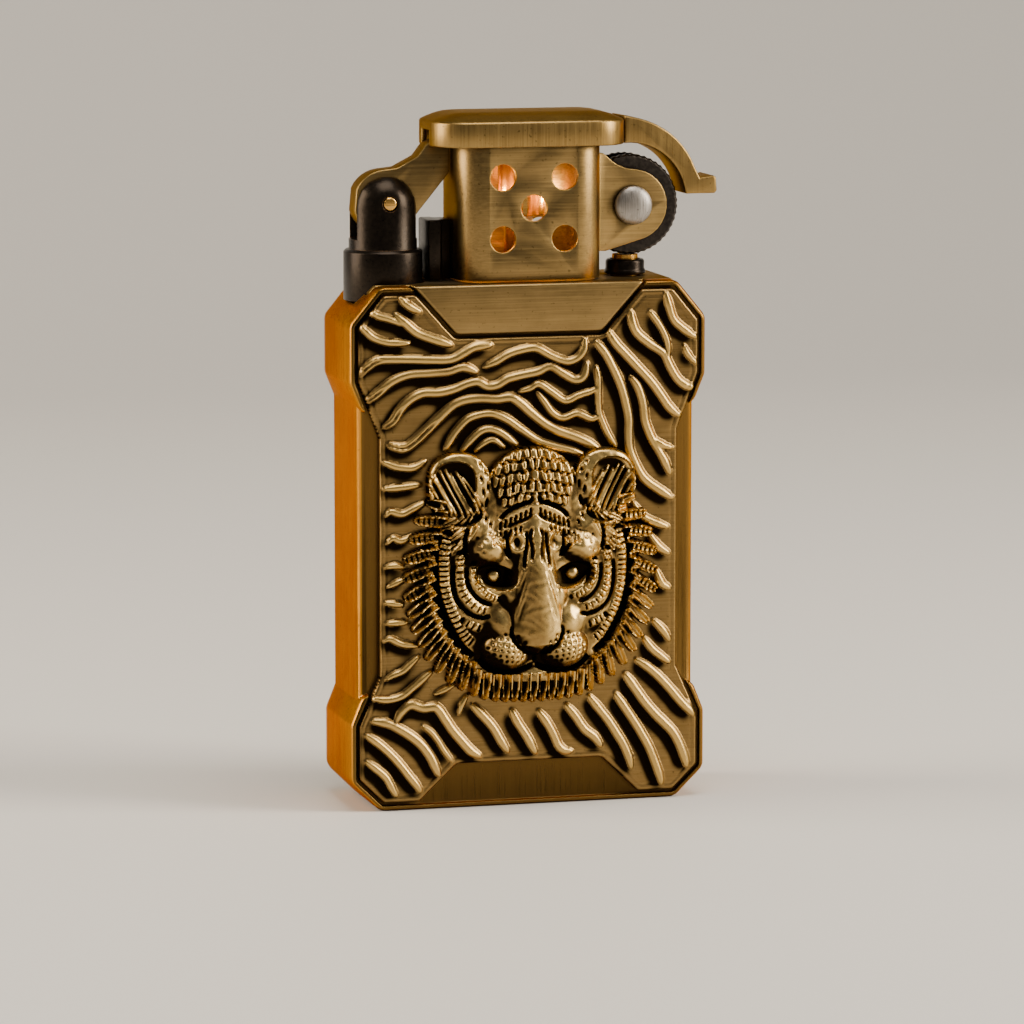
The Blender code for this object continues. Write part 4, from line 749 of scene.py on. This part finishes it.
# half-width and height of the nose at each Z: narrow between the eyes, wide and blunt at its end
nose = {"half": [(15.6, 0.6), (16.4, 1.45), (17.2, 2.2), (18.2, 2.5), (20, 2.35), (22, 2.1), (24, 1.85),
                 (25.5, 1.7), (27.5, 1.4), (29.5, 0.8)],
        "top": [(15.4, 1.2), (16.0, 2.5), (16.9, 3.4), (18.0, 3.6), (20, 3.55), (22, 3.45), (24, 3.3),
                (26, 3.1), (28, 2.85), (29.5, 2.4)],
        "from": 15.0, "to": 30, "crown": 0.65, "power": 2.2, "side": 1.5, "blend": 0.22,
        "hairDeep": 0.09, "hairPitch": 8.0}
grooves = [  # half-width, depth, line
    (0.30, 0.80, (0, 14.75), (1.3, 14.2), (2.9, 13.95), (4.7, 14.4), (5.8, 15.4)),
    (0.24, 0.42, (7.0, 24.9), (6.95, 23.5), (6.5, 22.3), (5.6, 21.4), (4.4, 20.9)),
    (0.24, 0.46, (8.35, 25.2), (8.35, 22.9), (7.9, 21.3), (6.9, 20.2), (5.6, 19.7), (4.6, 19.9)),
    (0.44, 0.70, (9.6, 28.6), (10.15, 26.5), (10.2, 24.3), (10.0, 22.2), (9.4, 20.2), (8.5, 18.3),
     (7.5, 16.7), (6.3, 15.6)),
    (0.27, 0.50, (0.0, 31.9), (0.8, 31.3), (2.0, 30.8), (3.0, 30.2), (3.7, 29.4)),
    (0.20, 0.36, (0.1, 30.2), (0.9, 29.6), (1.9, 29.2), (3.2, 28.6)),
    (0.22, 0.42, (0.35, 28.9), (0.65, 27.8), (0.5, 26.6), (0.55, 25.2)),
    (0.22, 0.42, (1.0, 28.6), (1.05, 27.0), (1.25, 25.6), (1.3, 24.4)),
    (0.22, 0.40, (2.85, 28.4), (2.9, 26.9), (2.6, 25.6)),
    (0.24, 0.42, (3.9, 27.4), (3.2, 26.5), (2.5, 25.6)),
    (0.26, 0.45, (6.9, 29.2), (7.2, 27.4), (7.1, 25.6)),
    (0.20, 0.42, (2.6, 18.9), (2.65, 18.0), (2.2, 17.0), (1.35, 16.3), (0.4, 15.8)),
    (0.18, 0.40, (0.0, 16.0), (0.0, 14.7)),
]
folds = [  # half-width, height, line
    (0.60, 0.12, (7.6, 35.9), (6.3, 35.2), (5.3, 34.0), (4.75, 32.6), (4.5, 31.2), (4.6, 29.8), (5.0, 28.2),
     (5.1, 27.0)),
    (0.50, 0.14, (4.4, 25.9), (3.2, 25.3), (2.0, 24.4)),
    (0.36, 0.34, (11.0, 25.0), (10.9, 22.6), (10.4, 20.3), (9.6, 18.4), (8.6, 16.9), (7.4, 15.6),
     (6.4, 14.8)),
    (0.22, 0.42, (1.9, 23.0), (2.9, 22.6), (4.1, 22.6), (5.2, 23.1), (5.9, 24.1)),
]
cheekBands = [  # fold's half-width and height; its ticks' half-width, depth and pitch; line
    (0.42, 0.40, 0.30, 0.28, 0.50, (6.3, 25.2), (6.1, 23.4), (5.5, 22.4), (4.7, 21.8), (3.7, 21.5)),
    (0.50, 0.30, 0.40, 0.30, 0.62, (7.7, 26.2), (7.65, 23.3), (7.2, 21.8), (6.1, 20.7), (4.9, 20.3)),
    (0.66, 0.34, 0.52, 0.34, 0.54, (8.9, 28.2), (9.25, 26.5), (9.3, 24.5), (9.2, 22.5), (8.7, 20.6),
     (7.9, 18.9), (7.0, 17.6), (6.2, 16.9)),
    (0.50, 0.28, 0.42, 0.30, 0.60, (7.4, 19.4), (6.3, 18.8), (5.3, 18.5)),
]
foldEnd = 0.8   # a fold fades out over this length
# rows of short locks: height at the middle, half the row's width
crown = {"rows": [(36.15, 3.7), (35.05, 4.1), (33.95, 4.0), (32.85, 3.8), (31.85, 3.3)], "pitch": 0.78,
         "droop": 0.105, "bend": 1.35, "length": 1.1, "half": 0.30, "tall": 0.32, "gap": (0.18, 0.28)}
crownJitter = rng.uniform(-1, 1, (len(crown["rows"]), 12, 3))
# combed ticks under the forehead lines: height at the middle, slope, first X, last X, length
combed = [(30.9, 0.46, 0.45, 3.6, 0.95), (29.4, 0.33, 1.5, 4.2, 0.9), (28.2, 0.1, 3.3, 4.5, 0.8)]
combedTick = {"pitch": 0.5, "half": 0.17, "deep": 0.34, "slant": 0.16}
loop = {"middle": (1.95, 27.3), "size": (0.72, 0.92), "tall": 0.24, "half": 0.25, "deep": 0.3,
        "hole": (0.28, 0.42)}
pits = {"start": (0.75, 14.9), "pitch": (0.60, 0.54), "rows": 6, "columns": 8, "half": 0.15,
        "padMiddle": (2.95, 16.3), "pad": (2.3, 1.75), "padDeep": 0.26, "browDeep": 0.17,
        "brow": [(5.2, 27.6), (5.8, 27.1), (5.5, 26.5), (6.1, 26.2), (4.7, 28.2), (6.0, 27.8)]}
earHairs = [
    [(5.75, 35.6), (5.35, 34.7)], [(5.1, 34.9), (4.9, 33.8)], [(5.6, 34.3), (5.4, 33.2)],
    [(4.75, 33.5), (4.75, 32.3)], [(5.3, 33.0), (5.2, 31.8)], [(4.8, 31.9), (4.95, 30.7)],
    [(5.4, 31.4), (5.5, 30.3)], [(4.9, 30.2), (5.15, 29.1)], [(4.5, 29.6), (4.7, 28.6)],
]
# short locks between the ear and the cheek: base X, base Z, direction
templeLocks = [(5.9, 30.3, -60), (6.6, 29.8, -50), (7.3, 29.6, -38), (8.1, 29.6, -25), (7.6, 28.4, -38),
               (8.6, 28.6, -22), (6.3, 28.9, -62), (7.5, 27.2, -50), (8.2, 27.0, -40), (7.2, 26.2, -62)]
templeLock = {"length": 1.6, "half": 0.38, "tall": 0.30, "power": 2.5, "creaseDeep": 0.2, "creaseHalf": 0.25}


def blendMounds(h, ax, z, mounds):
    for *shape, blend in mounds.values():
        h = softMax(h, bulge(ax, z, *shape), blend)
    return h


def sinkEye(h, ax, z):
    share = np.clip(bulge(ax, z, *eye["socket"]) * eye["steepness"], 0, 1)
    h = h * (1 - share) + eye["floor"] * share
    (cx, cz), radius = eye["ball"], eye["radius"]
    ball = 1 - ((ax - cx) / radius) ** 2 - ((z - cz) / radius) ** 2
    return np.where(ball > 0, np.maximum(h, eye["base"] + eye["tall"] * np.sqrt(np.clip(ball, 0, 1))), h)


def raiseNose(h, ax, z):
    half, top = (np.interp(z, *zip(*nose[key])) for key in ("half", "top"))
    bridge = (top - nose["crown"] * np.minimum(ax / half, 1) ** nose["power"]
              - nose["side"] * np.clip(ax - half, 0, None))
    return softMax(h, np.where((z > nose["from"]) & (z < nose["to"]), bridge, farBelow), nose["blend"])


def drawFold(h, ax, z, width, tall, line):
    near, off, along, total = nearLine(ax, z, line, width)
    h[near] += hump(off, width) * tall * np.clip(np.minimum(along, total - along) / foldEnd, 0, 1)


def drawFaceLines(h, ax, z):
    for width, deep, *line in grooves:
        groove(h, ax, z, line, width, deep)
    for width, tall, *line in folds:
        drawFold(h, ax, z, width, tall, line)
    for width, tall, tickHalf, deep, pitch, *line in cheekBands:
        drawFold(h, ax, z, width, tall, line)
        near, off, along, total = nearLine(ax, z, line, tickHalf)
        wave = np.cos(along / pitch * 2 * math.pi + 0.8 * np.sin(along * 1.7))
        h[near] -= hump(off, tickHalf, 4) * deep * np.clip(wave * 1.6 - 0.5, 0, 1)


def drawCrown(h, ax, z):
    # short locks in rows, none quite alike, with a gap under each row
    pitch, droop, bend = crown["pitch"], crown["droop"], crown["bend"]
    for row, (middle, reach) in enumerate(crown["rows"]):
        for k in range(int(reach / pitch) + 1):
            shift, tilt, grow = crownJitter[row, k]
            lx = (k + (0.5 if row % 2 else 0)) * pitch + 0.12 * shift
            lz = middle - droop * abs(lx) ** bend + 0.1 * grow
            u, across = leaf(ax, z, lx, lz + 0.5, -90 + 3 * lx + 9 * tilt,
                             crown["length"] + 0.15 * grow, crown["half"] + 0.04 * tilt)
            inside = across < 1
            h[inside] += (crown["tall"] + 0.08 * grow) * (1 - across[inside] ** 3)
        line = [(t, middle - 0.55 - droop * abs(t) ** bend + 0.12 * math.sin(3 * t + row))
                for t in np.linspace(0, reach, 8)]
        groove(h, ax, z, line, *crown["gap"])


def drawForehead(h, ax, z):
    for middle, slope, first, last, size in combed:
        for lx in np.arange(first, last, combedTick["pitch"]):
            lz = middle - slope * lx
            groove(h, ax, z, [(lx, lz + 0.1), (lx + combedTick["slant"], lz - size)],
                   combedTick["half"], combedTick["deep"], taper=0.2)
    # a ring with a dent in it, each side of the forehead's middle
    (cx, cz), (rx, rz), (holeX, holeZ) = loop["middle"], loop["size"], loop["hole"]
    ring = np.abs(np.hypot((ax - cx) / rx, (z - cz) / rz) - 1)
    h += loop["tall"] * np.exp(-(ring / loop["half"]) ** 2)
    h -= loop["deep"] * np.exp(-((ax - cx) / holeX) ** 2 - ((z - cz) / holeZ) ** 2)


def pit(h, ax, z, px, pz, deep):
    h -= deep * np.exp(-((ax - px) ** 2 + (z - pz) ** 2) / pits["half"] ** 2)


def drawPits(h, ax, z):
    # in rows on the muzzle, and a few on the brow
    (startX, startZ), (pitchX, pitchZ) = pits["start"], pits["pitch"]
    (padX, padZ), (wide, tall) = pits["padMiddle"], pits["pad"]
    for row in range(pits["rows"]):
        for k in range(pits["columns"]):
            px, pz = startX + pitchX * k + 0.1 * (row % 2), startZ + pitchZ * row + 0.10 * k
            if ((px - padX) / wide) ** 2 + ((pz - padZ) / tall) ** 2 < 1:
                pit(h, ax, z, px, pz, pits["padDeep"])
    for px, pz in pits["brow"]:
        pit(h, ax, z, px, pz, pits["browDeep"])


def drawNoseHairs(h, ax, z):
    # fine hairs slant down the sides of the nose
    strands = np.sin((ax * 0.94 + z * 0.34) * nose["hairPitch"])
    band = np.clip(1 - np.abs(ax - 1.6 - 0.12 * (22 - z)) / 0.7, 0, 1) * np.clip((z - 18.8) / 1.5, 0, 1)
    h += nose["hairDeep"] * strands * band * np.clip((25.4 - z) / 1.0, 0, 1)


def raiseEars(h, ax, z):
    # a thick rim round a hollow that opens into hair below
    reach = earReach(ax, z, *ear["rim"])
    fade = np.clip((z - 29.6) / 2.0, 0, 1)
    dome = ear["tall"] * np.sqrt(np.clip(1 - reach ** 2, 0, 1)) + ear["lean"] * (10.5 - ax)
    rim = ear["base"] + dome * (0.4 + 0.6 * fade)
    h = np.where(reach < 1, softMax(np.where(ax > 5.4, ear["behind"], h), rim, 0.15), h)
    hollow = np.clip(1 - earReach(ax, z, *ear["hollow"]) ** 2, 0, 1)
    h = h - ear["deep"] * np.sqrt(hollow) * (0.35 + 0.65 * fade)
    for k in range(ear["hairs"]):
        # hairs cross the hollow from its outer rim down towards the cheek
        hx, wave = 6.0 + 0.54 * k, 0.25 * math.sin(2.3 * k)
        line = [(hx + 1.5, 34.7 - 0.06 * (k - 3) ** 2 + wave), (hx + 0.6, 32.9 + wave),
                (hx - 0.5, 30.8 + wave), (hx - 0.9, 29.9)]
        near, off, along, total = nearLine(ax, z, line, 0.2)
        ends = np.clip(np.minimum(along, total - along) / 0.5, 0, 1)
        h[near] += hump(off, 0.2) * (0.42 + 0.1 * wave) * ends
    for line in earHairs:
        groove(h, ax, z, line, 0.17, 0.42)
    return h


def drawTempleLocks(h, ax, z):
    for lx, lz, turn in templeLocks:
        u, across = leaf(ax, z, lx, lz, turn, templeLock["length"], templeLock["half"])
        inside = across < 1
        mid = np.exp(-(across[inside] / templeLock["creaseHalf"]) ** 2)
        h[inside] += (templeLock["tall"] * (1 - across[inside] ** templeLock["power"])
                      - templeLock["creaseDeep"] * mid)


def drawRuffLock(h, ax, z, bx, bz, degrees, length, half, ticks, rise):
    # a lock has raised sides and a groove down it
    u, across = leaf(ax, z, bx, bz, degrees, length, half)
    inside = (across < 1) & (u > 0.05)
    ui, ci = u[inside], across[inside]
    side = ruffLook["rimTall"] * np.exp(-((ci - ruffLook["rimAt"]) / ruffLook["rimHalf"]) ** 2)
    middle = ruffLook["creaseDeep"] * np.exp(-(ci / ruffLook["creaseHalf"]) ** 2)
    lock = rise - ruffLook["fall"] * ui + side - middle
    if ticks:
        wave = np.cos(ui * length / ruffLook["tickPitch"] * 2 * math.pi)
        lock -= ruffLook["tickDeep"] * np.clip(wave * 1.5 - 0.4, 0, 1) * (ci < 0.7)
    lock -= ruffLook["edgeFall"] * np.clip((ci - 0.84) / 0.16, 0, 1)
    h[inside] = np.where(ui > 0.3, lock, np.maximum(lock, h[inside] - 0.1))


def drawRuff(h, ax, z):
    # one layer from the list, then a smaller one over the joins between neighbours
    rises = [ruffLook["base"] + ruffLook["chinRise"] * np.clip((-lock[2] - 70) / 20, 0, 1) for lock in ruff]
    for lock, rise in zip(ruff, rises):
        drawRuffLock(h, ax, z, *lock, rise)
    size, back = ruffLook["secondSize"], ruffLook["secondBack"]
    for k in range(ruffLook["secondTo"] + 1):
        (bx, bz, degrees, length, half, ticks), (nextX, nextZ, nextDegrees, *_) = ruff[k], ruff[k + 1]
        degrees = (degrees + nextDegrees) / 2
        bx = (bx + nextX) / 2 - back * math.cos(math.radians(degrees))
        bz = (bz + nextZ) / 2 - back * math.sin(math.radians(degrees))
        drawRuffLock(h, ax, z, bx, bz, degrees, length * size, half * size, ticks,
                     rises[k] + ruffLook["secondRise"])


def headHeight(x, z):
    ax = np.abs(x)
    out = np.hypot(ax / 12.4, (z - 23.0) / 14.5)
    h = 0.45 + 1.65 * np.clip(1 - out ** 2, 0, 1)
    h = blendMounds(h, ax, z, upperMounds)
    h = sinkEye(h, ax, z)
    h = blendMounds(h, ax, z, lowerMounds)
    h = raiseNose(h, ax, z)
    drawFaceLines(h, ax, z)
    drawCrown(h, ax, z)
    drawForehead(h, ax, z)
    drawPits(h, ax, z)
    drawNoseHairs(h, ax, z)
    h = raiseEars(h, ax, z)
    drawTempleLocks(h, ax, z)
    drawRuff(h, ax, z)
    rounding = headSpec["edgeRound"]
    edge = np.clip(headEdge(x, z), 0, rounding)
    h -= headSpec["edgeDrop"] * (1 - np.sqrt(np.clip(1 - (1 - edge / rounding) ** 2, 0, 1)))
    # a cast surface is never quite even
    h += headSpec["uneven"] * np.sin(x * 4.1 + 2 * np.sin(z * 2.3)) * np.sin(z * 3.7 + 2 * np.sin(x * 1.9))
    return np.clip(h, headSpec["least"], headSpec["most"])


head = reliefSheet("tiger_head", headSpec, headEdge, headHeight)
head.data.materials.append(antiqueHead)
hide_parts("tiger_head_emblem")
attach(head, "case")

print("scene: softened edges")
# width of the rounding in millimetres
softened = {"case_shell": 0.16, "top_deck": 0.14, "chimney": 0.10, "snuffer_cap": 0.14, "thumb_tail": 0.12,
            "lift_arm": 0.10, "pivot_post": 0.12, "stop_block": 0.12, "flint_collar": 0.10,
            "wheel_axle": 0.12, "rear_plate": 0.16, "insert_tank": 0.12, "arm_pivot_pin": 0.06}
# angles in degrees; keep: a softened piece may lose no more than this share of its volume
softening = {"flat": 0.6, "edge": 38, "crease": 35, "segments": 2, "keep": 0.04}


def workingCopy(nodeName, ending):
    deselectAll()
    copy = nodes[nodeName].copy()
    copy.data = nodes[nodeName].data.copy()
    copy.name = nodeName + ending
    copy.parent = None
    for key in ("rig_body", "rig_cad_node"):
        del copy[key]
    bpy.context.scene.collection.objects.link(copy)
    selectParts(copy, "VERT", np.ones(len(copy.data.vertices), bool))
    bpy.ops.mesh.remove_doubles(threshold=0.001 * mm)
    objectMode()
    return copy


def meshState(obj):
    # volume in cubic millimetres, and how many edges don't join exactly two faces
    obj.data.calc_loop_triangles()
    corners = np.empty(len(obj.data.loop_triangles) * 3, int)
    obj.data.loop_triangles.foreach_get("vertices", corners)
    a, b, c = (places(obj)[corners.reshape(-1, 3)[:, k]] / mm for k in range(3))
    volume = float(np.einsum("ij,ij->i", a, np.cross(b, c)).sum() / 6)
    return volume, int((edgeUses(obj.data) != 2).sum())


for nodeName, width in softened.items():
    piece = workingCopy(nodeName, "_soft")
    before, _ = meshState(piece)
    selectParts(piece, "FACE", np.ones(len(piece.data.polygons), bool))
    bpy.ops.mesh.dissolve_limited(angle_limit=math.radians(softening["flat"]))
    objectMode()
    bevel = piece.modifiers.new("soften", "BEVEL")
    bevel.width = width * mm
    bevel.segments = softening["segments"]
    bevel.limit_method = "ANGLE"
    bevel.angle_limit = math.radians(softening["edge"])
    bpy.context.view_layer.objects.active = piece
    bpy.ops.object.modifier_apply(modifier="soften")
    after, loose = meshState(piece)
    if abs(after - before) > softening["keep"] * before or loose:
        print("scene:", nodeName, "kept as it was")
        bpy.data.objects.remove(piece)
        continue
    print("scene:", nodeName, "softened,", len(piece.data.polygons), "faces")
    bpy.ops.object.shade_smooth_by_angle(angle=math.radians(softening["crease"]))
    body = nodes[nodeName]["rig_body"]
    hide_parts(nodeName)
    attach(piece, body)

print("scene: springs")
springLook = {"crease": 60, "leastLength": 0.05}   # degrees, and share of the free length


def liveSpring(nodeName, jointName, body):
    # a copy of the spring on the given body, in place of the CAD node; it keeps its length
    joint = next(j for j in frame["joints"] if j["name"] == jointName)
    low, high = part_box(nodeName)
    axis = max(range(3), key=lambda k: abs(joint["axis"][k]))
    push = joint["axis"][axis] * joint["range_m"][0]
    anchor = [(a + b) / 2 for a, b in zip(low, high)]
    anchor[axis] = (low if push < 0 else high)[axis]
    spring = workingCopy(nodeName, "_live")
    bpy.ops.object.shade_smooth_by_angle(angle=math.radians(springLook["crease"]))
    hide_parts(nodeName)
    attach(spring, body)
    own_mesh(spring)


liveSpring("flint_spring", "flint_slide", "insert")
liveSpring("detent_spring", "detent_slide", "insert")

print("scene: done")
